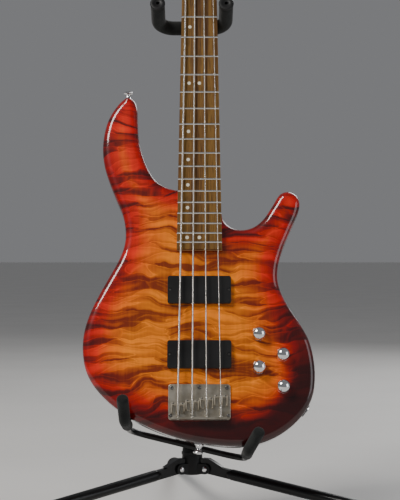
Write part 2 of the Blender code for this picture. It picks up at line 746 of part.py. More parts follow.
def build_controls(guitar, outline):
    base, top = -KNOB_LIFT, -KNOB_LIFT - KNOB_HEIGHT
    for name, (x, z) in KNOBS.items():
        dome = [(KNOB_RADIUS, base), (KNOB_RADIUS, base - KNOB_HEIGHT / 2)]
        for turn in (math.radians(25), math.radians(50), math.radians(72)):
            dome.append((KNOB_RADIUS * math.cos(turn), base - KNOB_HEIGHT / 2 * (1 + math.sin(turn))))
        dome.append((KNOB_RADIUS * 0.1, top))
        bore = disc(POT_SHAFT_RADIUS + PIN_PLAY, base + 5, POT_SHAFT_TOP - 1, "y", steps=8)
        place(name, cut(turned(dome, "y", steps=16), bore), "chrome", guitar, (x, 0, z))

    board = prism(hull_of_circles(KNOBS.values(), CIRCUIT_MARGIN, 10), CIRCUIT_FRONT, CIRCUIT_BACK)
    pot = (
        (POT_CAN_RADIUS, CIRCUIT_FRONT + 0.5),
        (POT_CAN_RADIUS, POT_CAN_TOP),
        (POT_BUSHING_RADIUS, POT_CAN_TOP),
        (POT_BUSHING_RADIUS, GAP),
        (POT_SHAFT_RADIUS, GAP),
        (POT_SHAFT_RADIUS, POT_SHAFT_TOP),
    )
    joined(board, *[turned(pot, "y", centre, 8) for centre in KNOBS.values()])
    place("control_board", board, "circuit_green", guitar)

    spot, turn = edge_at(outline, JACK_NEAR)
    barrel = (
        (JACK_FLANGE_RADIUS, 0),
        (JACK_FLANGE_RADIUS, -JACK_FLANGE),
        (JACK_BARREL_RADIUS, -JACK_FLANGE),
        (JACK_BARREL_RADIUS, -JACK_FLANGE - JACK_LENGTH),
    )
    bore = disc(JACK_SOCKET_RADIUS, -JACK_SOCKET_DEPTH, THROUGH)
    place("output_jack", cut(turned(barrel), bore), "black_plastic", guitar, (spot.x, JACK_Y, spot.y), turn)


def build_strap_buttons(guitar, outline):
    profile = (
        (STRAP_SCREW_RADIUS, -STRAP_SCREW_LENGTH),
        (STRAP_SCREW_RADIUS, GAP + 0.2),
        (6.2, GAP + 0.2),
        (6.2, 2.5),
        (3.5, 4.5),
        (3.5, 9.5),
        (6.5, 11.5),
        (6.0, 13.2),
        (3.0, 14.0),
    )
    for name, near in STRAP_BUTTONS.items():
        spot, turn = edge_at(outline, near)
        place(name, turned(profile, steps=10), "chrome", guitar, (spot.x, BODY_THICKNESS / 2, spot.y), turn)


# ---------------------------------------------------------------------- tuners


def gear_outline():
    """Pointed teeth round a wheel."""
    points = []
    pitch = math.tau / GEAR_TEETH
    for tooth in range(GEAR_TEETH):
        for share, radius in ((0, GEAR_ROOT_RADIUS), (0.5, GEAR_RADIUS)):
            turn = pitch * (tooth + share)
            points.append((radius * math.cos(turn), radius * math.sin(turn)))
    return points


def tuner_housing():
    plate = prism(rounded_rectangle(HOUSING_WIDTH, HOUSING_LENGTH, 3), HOUSING_FRONT, HOUSING_BACK)
    bush = POST_RADIUS + PIN_PLAY + BUSHING_WALL
    ferrule_back = HEAD_FRONT - GAP
    sleeve = turned(
        (
            (FERRULE_RADIUS, ferrule_back - FERRULE_THICKNESS),
            (FERRULE_RADIUS, ferrule_back),
            (bush, ferrule_back),
            (bush, HOUSING_BACK - 0.5),
        ),
        "y",
    )
    ears = [
        box(
            (min(side * EAR_INNER, side * EAR_OUTER), HOUSING_BACK - 0.5, WORM_Z - 4.5),
            (max(side * EAR_INNER, side * EAR_OUTER), WORM_Y + 4, WORM_Z + 4.5),
        )
        for side in (-1, 1)
    ]
    joined(plate, sleeve, *ears)
    bore = disc(POST_RADIUS + PIN_PLAY, -THROUGH, THROUGH, "y")
    worm_bore = disc(WORM_SHAFT_RADIUS + PIN_PLAY, -THROUGH, THROUGH, "x", (WORM_Y, WORM_Z), 10)
    return cut(plate, bore, worm_bore)


def tuner_post():
    """A slotted post with a waist for the string, and the worm wheel on its back end."""
    post = turned(
        (
            (POST_RADIUS - 0.7, POST_TOP),
            (POST_RADIUS, POST_TOP + 0.7),
            (POST_RADIUS, POST_WIND_Y - 3.8),
            (POST_WAIST_RADIUS, POST_WIND_Y - 2.8),
            (POST_WAIST_RADIUS, POST_WIND_Y + 2.8),
            (POST_RADIUS, POST_WIND_Y + 3.8),
            (POST_RADIUS, GEAR_FRONT + 0.5),
        ),
        "y",
    )
    gear_hub = disc(GEAR_HUB_RADIUS, GEAR_BACK - 0.5, GEAR_BACK + GEAR_HUB, "y")
    joined(post, prism(gear_outline(), GEAR_FRONT, GEAR_BACK), gear_hub)
    return cut(post, box((-1.3, -THROUGH, -10), (1.3, POST_WIND_Y - 4.5, 10)))


def tuner_key(side):
    """The worm on its shaft, with a flat button on the outer end."""
    profile = (
        (WORM_SHAFT_RADIUS + 1, -EAR_OUTER - 2),
        (WORM_SHAFT_RADIUS + 1, -EAR_OUTER - GAP),
        (WORM_SHAFT_RADIUS, -EAR_OUTER - GAP),
        (WORM_SHAFT_RADIUS, -EAR_INNER + 1),
        (WORM_RADIUS, -EAR_INNER + 1),
        (WORM_RADIUS, EAR_INNER - 1),
        (WORM_SHAFT_RADIUS, EAR_INNER - 1),
        (WORM_SHAFT_RADIUS, KEY_PADDLE_START + 4),
    )
    key = turned([(radius, side * level) for radius, level in profile], "x", steps=10)
    middle = (KEY_PADDLE_START + KEY_PADDLE_END) / 2
    half_length, half_width = (KEY_PADDLE_END - KEY_PADDLE_START) / 2, KEY_PADDLE_WIDTH / 2
    rings = []
    for share, level in ((0.86, -0.5), (1.0, -0.2), (1.0, 0.2), (0.86, 0.5)):
        y = level * KEY_PADDLE_THICKNESS
        rings.append([
            (side * (middle + half_length * a), y, half_width * b) for a, b in circle(share, steps=16)
        ])
    return joined(key, loft(rings))


def build_tuners(guitar):
    for name, (side, x, z) in tuner_places().items():
        place(f"tuner_housing_{name}", tuner_housing(), "chrome", guitar, (x, 0, z))
        place(f"tuner_post_{name}", tuner_post(), "chrome", guitar, (x, 0, z))
        place(f"tuner_key_{name}", tuner_key(side), "chrome", guitar, (x, WORM_Y, z + WORM_Z))


# ------------------------------------------------------------- mast and legs


def build_mast(stand):
    bottom = PIVOT_HEIGHT - HUB_BELOW + HUB_FLOOR + GAP
    mast = ring(MAST_RADIUS - MAST_WALL, MAST_RADIUS, bottom, MAST_TOP)
    place("mast_tube", mast, "black_steel", stand)

    slider_top = YOKE_HEIGHT - SLIDER_TOP_BELOW_YOKE
    slider = ring(SLIDER_RADIUS - SLIDER_WALL, SLIDER_RADIUS, slider_top - SLIDER_LENGTH, slider_top)
    place("mast_slider", slider, "black_steel", stand)

    low, high = -COLLAR_BELOW, COLLAR_ABOVE
    knob_z = high / 2
    wide = COLLAR_RADIUS
    collar = turned(((wide - 1, low), (wide, low + 2), (wide, high - 4), (wide - 3, high)))
    joined(collar, disc(BOSS_RADIUS, 0, BOSS_END, "y", (0, knob_z)))
    collar = cut(
        collar,
        disc(MAST_RADIUS + PIN_PLAY, -THROUGH, GAP, steps=16),
        disc(SLIDER_RADIUS + PIN_PLAY, -THROUGH, THROUGH, steps=16),
        disc(HEIGHT_STEM_RADIUS + PIN_PLAY, 5, THROUGH, "y", (0, knob_z), 12),
    )
    place("height_collar", collar, "black_plastic", stand, (0, 0, MAST_TOP))

    start = BOSS_END + GAP
    angles = [math.tau * i / 30 for i in range(30)]
    lobes = [(HEIGHT_KNOB_RADIUS * (0.88 + 0.12 * math.cos(5 * t)), t) for t in angles]
    head = prism([(r * math.cos(t), r * math.sin(t)) for r, t in lobes], start, start + 14)
    stem = disc(HEIGHT_STEM_RADIUS, SLIDER_RADIUS + GAP, start + 5, "y", steps=12)
    place("height_knob", joined(head, stem), "black_plastic", stand, (0, 0, MAST_TOP + knob_z))


def leg_heading(azimuth):
    """Turn about Z that points a leg's x axis along its azimuth."""
    return math.radians(azimuth - 90)


def leg_pivot(azimuth):
    heading = leg_heading(azimuth)
    outward = Vector((math.cos(heading), math.sin(heading), 0))
    return outward * LEG_PIVOT_RADIUS + Vector((0, 0, PIVOT_HEIGHT))


def build_hub(stand):
    """The hub: a socket for the mast, with a pair of cheeks for each leg."""
    profile = ((HUB_RADIUS, -HUB_BELOW), (HUB_RADIUS, HUB_SHOULDER), (HUB_NECK_RADIUS, HUB_ABOVE))
    hub = turned(profile, steps=16)
    cheek_outline = hull_of_circles([(0, 0), (-LEG_PIVOT_RADIUS * 0.6, 0)], CHEEK_RADIUS, 12)
    cheeks, holes = [], []
    for azimuth in LEGS.values():
        spot, turn = leg_pivot(azimuth) - Vector((0, 0, PIVOT_HEIGHT)), (0, 0, leg_heading(azimuth))
        for side in (-1, 1):
            cheek = prism(cheek_outline, side * CHEEK_INNER, side * CHEEK_OUTER)
            cheeks.append(moved(cheek, spot, turn))
        bore = disc(LEG_BORE_RADIUS, -CHEEK_OUTER - 3, CHEEK_OUTER + 3, "y", steps=8)
        holes.append(moved(bore, spot, turn))
    joined(hub, *cheeks)
    mast_bore = disc(MAST_RADIUS + PIN_PLAY, HUB_FLOOR - HUB_BELOW, THROUGH, steps=16)
    place("leg_hub", cut(hub, mast_bore, *holes), "black_plastic", stand, (0, 0, PIVOT_HEIGHT))


def leg_body():
    """A flat blade at the pin, with a nose that stops against the hub, and a tube."""
    half = LEG_BLADE_THICKNESS / 2
    blade = prism(hull_of_circles([(0, 0), (LEG_TUBE_START + 8, 0)], LEG_BLADE_HALF, 16), -half, half)
    reach = LEG_PIVOT_RADIUS - HUB_RADIUS - GAP
    nose = prism([(-reach, LEG_STOP_HIGH - 6), (-reach, LEG_STOP_HIGH - 1), (-reach + 2, LEG_STOP_HIGH),
                  (4, LEG_STOP_HIGH), (26, 4), (0, 0)], -half, half)
    moved(nose, turn=(0, -LEG_SLOPE, 0))
    end = LEG_LENGTH - TUBE_SHORT_OF_END
    shoulder = LEG_TUBE_START - 6
    profile = ((LEG_TUBE_RADIUS - 2.5, shoulder), (LEG_TUBE_RADIUS, LEG_TUBE_START), (LEG_TUBE_RADIUS, end))
    tube = turned(profile, "x")
    joined(blade, nose, tube)
    bore = disc(LEG_TUBE_RADIUS - LEG_TUBE_WALL, LEG_TUBE_START + 20, end + 5, "x")
    pin_hole = disc(LEG_BORE_RADIUS, -THROUGH, THROUGH, "y", steps=12)
    return cut(blade, bore, pin_hole)


def leg_foot():
    """A rubber boot on the leg's end, worn flat where it meets the floor."""
    ball = LEG_LENGTH - FOOT_BACK
    sleeve_radius = LEG_TUBE_RADIUS + PIN_PLAY + FOOT_SLEEVE_WALL
    profile = [(sleeve_radius, LEG_LENGTH - FOOT_SLEEVE)]
    for degrees in (-32, -15, 0, 20, 40, 60, 80):
        turn = math.radians(degrees)
        profile.append((FOOT_RADIUS * math.cos(turn), ball + FOOT_RADIUS * math.sin(turn)))
    foot = turned(profile, "x")
    bore = disc(LEG_TUBE_RADIUS + PIN_PLAY, 0, LEG_LENGTH - TUBE_SHORT_OF_END + GAP, "x")
    floor = box((-60, -60, -60), (60, 60, -(FOOT_RADIUS - FOOT_FLAT)))
    moved(floor, turn=(0, -LEG_SLOPE, 0))
    moved(floor, at=(ball, 0, 0))
    return cut(foot, bore, floor)


def leg_pin():
    half = CHEEK_OUTER + GAP
    side = ((LEG_PIN_RADIUS, half), (4.5, half), (4.5, half + 0.8), (3.6, half + 2), (1.6, half + 2.5))
    profile = [(radius, -level) for radius, level in reversed(side)] + list(side)
    return turned(profile, "y", steps=10)


def build_legs(stand):
    for name, azimuth in LEGS.items():
        spot, heading = leg_pivot(azimuth), leg_heading(azimuth)
        place(f"leg_pin_{name}", leg_pin(), "chrome", stand, spot, (0, 0, heading))
        leg = place(f"leg_{name}", leg_body(), "black_steel", stand, spot, (0, LEG_SLOPE, heading))
        place(f"leg_foot_{name}", leg_foot(), "black_rubber", leg)


# ---------------------------------------------------------- cradle and yoke


def pad_centre(side, roll):
    """Where a cradle pad's axis lies across the lean frame, at a roll of the cradle."""
    x, z = side * CRADLE_HALF_WIDTH, -CRADLE_DROP
    return Vector((x * math.cos(roll) + z * math.sin(roll), -x * math.sin(roll) + z * math.cos(roll)))


def distance_to_outline(point, outline):
    best = math.inf
    for i, end in enumerate(outline):
        start = outline[i - 1]
        nearest, share = intersect_point_line(point, start, end)
        nearest = start.lerp(end, min(max(share, 0), 1))
        best = min(best, (point - nearest).length)
    return best


def resting_height(outline, side, roll):
    """How low the guitar comes before its edge meets one cradle pad."""
    touch = CRADLE_PAD_RADIUS + GAP
    centre = pad_centre(side, roll)
    height, step = 120.0, 8.0
    while step > 0.002:
        offset = Vector((GUITAR_OFFSET, height - step))
        if distance_to_outline(centre - offset, outline) > touch:
            height -= step
        else:
            step /= 2
    return height


def rest_on_cradle(outline):
    """The cradle's roll at which both pads meet the body, and the guitar's height there."""
    low, high = 0.0, math.radians(30)
    for _ in range(16):
        roll = (low + high) / 2
        if resting_height(outline, -1, roll) < resting_height(outline, 1, roll):
            low = roll
        else:
            high = roll
    return roll, max(resting_height(outline, side, roll) for side in (-1, 1))


def guitar_depth(guitar_z, mouth):
    """How far forward in the lean frame the guitar's face lies, its neck against the yoke."""
    rise = YOKE_HEIGHT - CRADLE_HEIGHT
    bar_y = -YOKE_FORWARD * math.cos(LEAN) - rise * math.sin(LEAN)
    bar_z = -YOKE_FORWARD * math.sin(LEAN) + rise * math.cos(LEAN)
    return bar_y - YOKE_PAD_RADIUS - GAP - neck_back_at(bar_z - guitar_z, mouth)


def cradle_arm(side, front):
    """Corners of one arm, from the middle of the back bar to the raised tip."""
    bend = front - CRADLE_FRONT_ROOM
    x = side * CRADLE_HALF_WIDTH
    tip = Vector((x + side * CRADLE_TIP_OUT, bend - CRADLE_TIP_FORWARD, CRADLE_TIP_UP - CRADLE_DROP))
    return [
        Vector((0, CRADLE_BAR_Y, -CRADLE_DROP)),
        Vector((x, CRADLE_BAR_Y, -CRADLE_DROP)),
        Vector((x, bend, -CRADLE_DROP)),
        tip,
    ]


def build_cradle(stand, lean, roller, front):
    bends = (CRADLE_CORNER, CRADLE_TIP_BEND)
    left, right = (rounded_path(cradle_arm(side, front), bends) for side in (-1, 1))
    arms = rod(left[:0:-1] + right[1:], CRADLE_ROD_RADIUS, 8)
    sleeve = disc(SLEEVE_RADIUS, SLEEVE_FRONT, SLEEVE_BACK, "y")
    web_half = CRADLE_ROD_RADIUS - 0.5
    web = box((-7, CRADLE_BAR_Y - web_half, -CRADLE_DROP), (7, CRADLE_BAR_Y + web_half, 0))
    joined(arms, sleeve, web)
    bore = disc(PIVOT_PIN_RADIUS + PIN_PLAY, -THROUGH, 0, "y")
    place("cradle_arms", cut(arms, bore), "black_steel", roller)

    pad_back = front + BODY_THICKNESS + CRADLE_PAD_BEHIND
    for name, side in (("left", -1), ("right", 1)):
        _, _, bend, tip = cradle_arm(side, front)
        back_end = Vector((bend.x, pad_back, bend.z))
        path = rounded_path([back_end, bend, tip], (CRADLE_TIP_BEND,))
        pad = domed_rod(path, CRADLE_PAD_RADIUS)
        past_tip = (tip - path[-2]).normalized() * GAP
        bore_path = [back_end + Vector((0, 5, 0)), *path[1:-1], tip + past_tip]
        bore = sleeve_bore(bore_path, CRADLE_ROD_RADIUS)
        place(f"cradle_pad_{name}", cut(pad, bore), "grey_foam", roller)

    boss = disc(SLEEVE_RADIUS - 0.5, -PIVOT_COLLAR_HALF, SLEEVE_BACK + GAP, "y")
    pin = disc(PIVOT_PIN_RADIUS, SLEEVE_FRONT - GAP - 1, -PIVOT_COLLAR_HALF, "y")
    head_back = SLEEVE_FRONT - GAP
    rim, head_front = PIVOT_HEAD_RADIUS, head_back - PIVOT_HEAD
    head = turned(((rim - 1.5, head_front), (rim, head_front + 1.5), (rim, head_back)), "y")
    joined(boss, pin, head)
    moved(boss, turn=(-LEAN, 0, 0))
    collar = disc(COLLAR_RADIUS, -PIVOT_COLLAR_HALF, PIVOT_COLLAR_HALF, steps=16)
    joined(collar, boss)
    bore = disc(MAST_RADIUS + PIN_PLAY, -THROUGH, THROUGH, steps=16)
    place("cradle_pivot", cut(collar, bore), "black_plastic", stand, lean.location / MM)


def build_yoke(stand):
    """The padded fork behind the neck, on a socket over the slider's top."""
    spots = ((-1, -YOKE_REACH), (-1, 0), (1, 0), (1, -YOKE_REACH))
    corners = [Vector((side * YOKE_HALF_WIDTH, y, 0)) for side, y in spots]
    path = rounded_path(corners, (YOKE_CORNER, YOKE_CORNER))
    bar, tilt = (0, -YOKE_FORWARD, 0), (-YOKE_TILT, 0, 0)

    fork = moved(rod(path, YOKE_ROD_RADIUS, 8), bar, tilt)
    socket = disc(SOCKET_RADIUS, -SOCKET_BELOW, SOCKET_ABOVE, steps=16)
    joined(fork, disc(YOKE_STUB_RADIUS, -YOKE_FORWARD, 0, "y", steps=12), socket)
    slider_bore = disc(SLIDER_RADIUS + PIN_PLAY, -THROUGH, GAP - SLIDER_TOP_BELOW_YOKE, steps=16)
    place("yoke", cut(fork, slider_bore), "black_plastic", stand, (0, 0, YOKE_HEIGHT))

    overrun = Vector((0, -5, 0))
    bore_path = [path[0] + overrun, *path[1:-1], path[-1] + overrun]
    bore = sleeve_bore(bore_path, YOKE_ROD_RADIUS)
    pad = moved(cut(rod(path, YOKE_PAD_RADIUS), bore), bar, tilt)
    cut(pad, disc(YOKE_STUB_RADIUS + GAP, -YOKE_FORWARD, THROUGH, "y"))
    place("yoke_pad", pad, "grey_foam", stand, (0, 0, YOKE_HEIGHT))

    front = -YOKE_REACH - GAP
    for name, side in (("left", -1), ("right", 1)):
        cap = ring(YOKE_CAP_HOLE, YOKE_CAP_RADIUS, front - YOKE_CAP, front, "y")
        moved(cap, (side * YOKE_HALF_WIDTH, 0, 0))
        place(f"yoke_cap_{name}", moved(cap, bar, tilt), "black_plastic", stand, (0, 0, YOKE_HEIGHT))


def centre_on_floor(root):
    """Moves everything so that the origin is under the middle of the whole object."""
    bpy.context.view_layer.update()
    points = [
        piece.matrix_world @ vertex.co
        for piece in bpy.context.scene.objects
        if piece.type == "MESH"
        for vertex in piece.data.vertices
    ]
    low = Vector(min(point[i] for point in points) for i in range(3))
    high = Vector(max(point[i] for point in points) for i in range(3))
    root.location -= Vector(((low.x + high.x) / 2, (low.y + high.y) / 2, low.z))


def main():
    clear_scene()
    make_materials()
    outline = body_outline()
    mouth = outline[0].y
    roll, guitar_z = rest_on_cradle(outline)
    guitar_y = guitar_depth(guitar_z, mouth)

    stand = pivot("stand_on_floor")
    lean = pivot("lean", stand, (0, 0, CRADLE_HEIGHT), (-LEAN, 0, 0))
    roller = pivot("cradle_roll", lean, turn=(0, roll, 0))
    guitar = pivot("guitar", lean, (GUITAR_OFFSET, guitar_y, guitar_z))

    build_body(guitar, outline)
    build_neck(guitar, mouth)
    build_fretboard(guitar)
    build_nut(guitar)
    build_neck_plate(guitar)
    build_pickups(guitar)
    build_bridge(guitar)
    build_strings(guitar)
    build_controls(guitar, outline)
    build_strap_buttons(guitar, outline)
    build_tuners(guitar)

    build_mast(stand)
    build_hub(stand)
    build_legs(stand)
    build_cradle(stand, lean, roller, guitar_y)
    build_yoke(stand)
    centre_on_floor(stand)


main()
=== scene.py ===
"""The looks of a four-string electric bass on a folding tripod stand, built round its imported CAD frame.

Shapes are made in millimetres in the frame of the guitar, the cradle or the stand, and piece() scales them
to metres. Guitar axes: x to the treble side, y from the face to the back, z along the strings to the
headstock, with zero at the string saddles. Stand axes: the mast is X = Y = 0 and the floor is Z = 0.
"""
import json
import math

import bmesh
import bpy
import numpy as np
from mathutils import Euler, Matrix, Vector
from mathutils.geometry import convex_hull_2d, delaunay_2d_cdt

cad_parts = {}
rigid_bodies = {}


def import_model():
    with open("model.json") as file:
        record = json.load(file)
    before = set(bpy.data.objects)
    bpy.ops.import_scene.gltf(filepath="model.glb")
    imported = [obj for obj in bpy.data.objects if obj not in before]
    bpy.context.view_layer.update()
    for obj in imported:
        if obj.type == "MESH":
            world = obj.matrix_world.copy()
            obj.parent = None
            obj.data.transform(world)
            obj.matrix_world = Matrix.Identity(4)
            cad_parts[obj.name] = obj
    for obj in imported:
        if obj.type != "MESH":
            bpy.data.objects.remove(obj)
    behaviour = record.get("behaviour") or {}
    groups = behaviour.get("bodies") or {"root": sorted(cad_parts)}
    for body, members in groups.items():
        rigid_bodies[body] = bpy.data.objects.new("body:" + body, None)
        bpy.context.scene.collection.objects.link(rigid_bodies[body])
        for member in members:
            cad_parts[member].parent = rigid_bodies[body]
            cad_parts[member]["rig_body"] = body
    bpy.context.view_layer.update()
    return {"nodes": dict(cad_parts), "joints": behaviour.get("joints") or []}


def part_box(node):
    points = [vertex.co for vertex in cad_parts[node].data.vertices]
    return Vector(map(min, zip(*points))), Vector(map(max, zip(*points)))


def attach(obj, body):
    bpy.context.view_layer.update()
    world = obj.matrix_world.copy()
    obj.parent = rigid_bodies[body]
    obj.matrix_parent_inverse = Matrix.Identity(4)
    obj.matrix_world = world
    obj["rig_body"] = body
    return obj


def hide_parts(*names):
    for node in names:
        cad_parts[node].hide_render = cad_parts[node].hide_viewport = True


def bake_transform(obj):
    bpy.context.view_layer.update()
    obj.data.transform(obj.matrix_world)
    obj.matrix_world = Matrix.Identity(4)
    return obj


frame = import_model()

MM = 0.001
GAP = 0.3  # clearance between parts that meet
SHARP_EDGE = math.radians(32)
THROUGH = 80.0  # how far a cutting tool reaches, more than any part it cuts is deep

# ------------------------------------------------------------ sizes, as in the CAD

SCALE_LENGTH, NUT_WIDTH, BOARD_END_WIDTH = 864.0, 40.0, 62.0
FRET_COUNT = 24
BOARD_END = 206.0
BOARD_TOP, BOARD_BOTTOM = -9.0, -4.0
FRET_HEIGHT, FRET_WIDTH = 1.1, 2.6
NECK_TOP = -3.7
NUT_END = 869.0
BODY_THICKNESS, TOP_THICKNESS = 42.0, 9.15
EDGE_WIDTH, EDGE_DEPTH = 10.0, 8.5
OUTLINE = (
    (-31, 293), (-45, 297), (-59.5, 306), (-70, 321), (-78, 340), (-84, 362), (-86.4, 390),
    (-87.5, 412), (-92, 424), (-101, 428.3), (-108, 424.6), (-118, 413), (-128, 394.5),
    (-133.5, 372), (-134.8, 351), (-132, 328), (-124, 302.6), (-114, 277.5), (-105.2, 255.8),
    (-101.6, 233), (-102.7, 216.5), (-109, 197), (-125, 167), (-138.7, 141.4), (-150, 116),
    (-156.5, 91.6), (-157.5, 67), (-153, 42), (-142, 21), (-120.4, -2), (-90, -23), (-53.7, -40),
    (-16.4, -51.6), (16, -57), (45.5, -59.2), (73, -57.5), (101.4, -47.5), (125.5, -31),
    (143.9, -10), (153, 11), (155.7, 35), (153.8, 60), (147.3, 85.3), (136, 106.5), (121, 129.6),
    (111, 150), (106.9, 167), (107.5, 184), (114, 208), (125.5, 236), (136.5, 261.5),
    (138.7, 275.3), (134, 286), (123.4, 291.2), (112.5, 288), (101.5, 271.5), (88, 251.5),
    (74, 240.4), (58, 236.8), (43.4, 240.4), (34, 249), (31, 258),
)
NECK_SECTIONS = (  # level, depth of the back, squareness
    (206, 15.7, 10), (295, 15.7, 10), (318, 15.0, 4), (348, 14.7, 2.6),
    (432, 14.5, 2.4), (816, 12.2, 2.3), (872, 12.2, 2.3),
)
PICKUPS = {"neck_pickup": 150.8, "bridge_pickup": 62.4}
PICKUP_LENGTH, PICKUP_WIDTH = 86.0, 37.5
PICKUP_TOP, PICKUP_BOTTOM = -6.5, 13.0
PICKUP_SCREW_X, PICKUP_SCREW_SINK = 40.0, 2.2
STRINGS = (  # name, radius, level of the saddle's crown, side and level of the tuner
    ("e", 1.27, -5.0, -1, 908.0),
    ("a", 1.02, -1.5, -1, 972.0),
    ("d", 0.76, 1.5, 1, 972.0),
    ("g", 0.57, 5.0, 1, 908.0),
)
PITCH_NUT, PITCH_BRIDGE = 10.0, 19.0
UNDERSIDE_NUT, UNDERSIDE_BRIDGE = -10.7, -13.5
BRIDGE_WIDTH, BRIDGE_LOW, BRIDGE_HIGH = 83.0, -25.5, 22.5
BRIDGE_FRONT, SADDLE_CROWN, INTONATION_Y = -2.8, -13.2, -4.9
STRING_HOLE_Y = -7.5
KNOBS = {
    "neck_volume": (80.0, 90.0), "bridge_volume": (112.0, 62.0),
    "treble": (80.0, 45.0), "bass": (112.0, 19.0),
}
JACK_NEAR, JACK_Y = (144.0, -10.0), 28.5
STRAP_BUTTONS = {"horn": (-101.0, 428.3), "tail": (0.0, -55.0)}
PLATE_CENTRE = 224.5
HEAD_FRONT, HEAD_BACK = -1.0, 12.5
HEAD_HALF_OUTLINE = (
    (20.5, 2), (25, 13), (35, 23), (40.5, 38), (39, 76), (40.5, 112), (41, 136), (31, 156), (12, 166),
)
TUNER_X = 24.0
POST_RADIUS, POST_WAIST, POST_TOP, WIND_Y = 6.0, 4.8, -22.0, -8.7
WORM_Y, WORM_Z = 19.0, -11.5
GEAR_TEETH, GEAR_FRONT, GEAR_BACK = 20, 16.5, 21.5

LEAN_ANGLE, CRADLE_HEIGHT, CRADLE_ROLL = math.radians(13), 124.6, math.radians(13.50357)
PIVOT_HEIGHT = 67.816
LEGS = {"left": -56.0, "right": 65.0, "rear": 185.0}
PIVOT_REACH, HUB_BOTTOM, HUB_FLOOR = 23.5, -9.0, 4.0
LEG_SLOPE, LEG_TUBE_RADIUS = math.radians(9), 8.0
BOOT_CENTRE, BOOT_RADIUS = 360.0, 13.0
MAST_BORE, MAST_RADIUS, MAST_TOP = 11.0, 12.5, 430.0
SLIDER_BORE, SLIDER_RADIUS, SLIDER_LOW, SLIDER_HIGH = 8.0, 9.5, 195.0, 695.0
CRADLE_HALF_WIDTH, CRADLE_ROD_RADIUS, CRADLE_PAD_RADIUS = 84.0, 4.5, 7.8
CRADLE_BAR_Y, CRADLE_BAR_Z = -32.0, -28.0
YOKE_HEIGHT, YOKE_HALF_WIDTH, YOKE_REACH, YOKE_BAR_Y = 704.0, 47.9, 64.0, -22.0
YOKE_TILT, YOKE_ROD_RADIUS, YOKE_PAD_RADIUS = math.radians(22), 5.0, 10.0

mast_low, mast_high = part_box("mast_tube")
mast = (mast_low + mast_high) / 2
STAND = Matrix.Translation((mast.x, mast.y, 0))
LEAN = STAND @ Matrix.Translation((0, 0, CRADLE_HEIGHT * MM)) @ Matrix.Rotation(-LEAN_ANGLE, 4, "X")
CRADLE = LEAN @ Matrix.Rotation(CRADLE_ROLL, 4, "Y")
bass_knob = Vector(next(joint["pos_m"] for joint in frame["joints"] if joint["name"] == "bass_turn"))
slant = LEAN.to_3x3()
GUITAR = Matrix.Translation(bass_knob - slant @ Vector((0.112, 0, 0.019))) @ slant.to_4x4()
GUITAR_Y = (LEAN.inverted() @ GUITAR).translation.y / MM

# ------------------------------------------------------------ camera, light and floor


def add_object(name, data):
    made = bpy.data.objects.new(name, data)
    bpy.context.scene.collection.objects.link(made)
    return made


camera = add_object("camera", bpy.data.cameras.new("camera"))
camera.location = (mast.x + 0.0113, mast.y - 1.972, 0.3846)
camera.rotation_euler = (math.pi / 2, 0, 0)
camera.data.lens = 97.4
camera.data.sensor_width = 36.0
bpy.context.scene.camera = camera


def soft_light(name, at, target, size, power, colour=(1, 1, 1)):
    lamp = bpy.data.lights.new(name, "AREA")
    lamp.shape = "RECTANGLE"
    lamp.size, lamp.size_y = size
    lamp.energy = power
    lamp.color = colour
    holder = add_object(name, lamp)
    holder.location = at
    holder.rotation_euler = (Vector(target) - Vector(at)).to_track_quat("-Z", "Y").to_euler()


soft_light("key_light", (-1.5, -1.7, 2.3), (0, -0.1, 0.45), (1.0, 1.0), 74, (1.0, 0.97, 0.93))
soft_light("fill_light", (2.3, -1.4, 0.9), (0, -0.1, 0.5), (1.4, 1.6), 15, (0.93, 0.96, 1.0))
soft_light("back_light", (1.2, 2.2, 1.9), (0, -0.1, 0.5), (1.4, 1.4), 32)

world = bpy.data.worlds.new("studio")
bpy.context.scene.world = world
world.use_nodes = True
world.node_tree.nodes["Background"].inputs["Color"].default_value = (0.80, 0.81, 0.84, 1)
world.node_tree.nodes["Background"].inputs["Strength"].default_value = 0.24

# ------------------------------------------------------------ materials


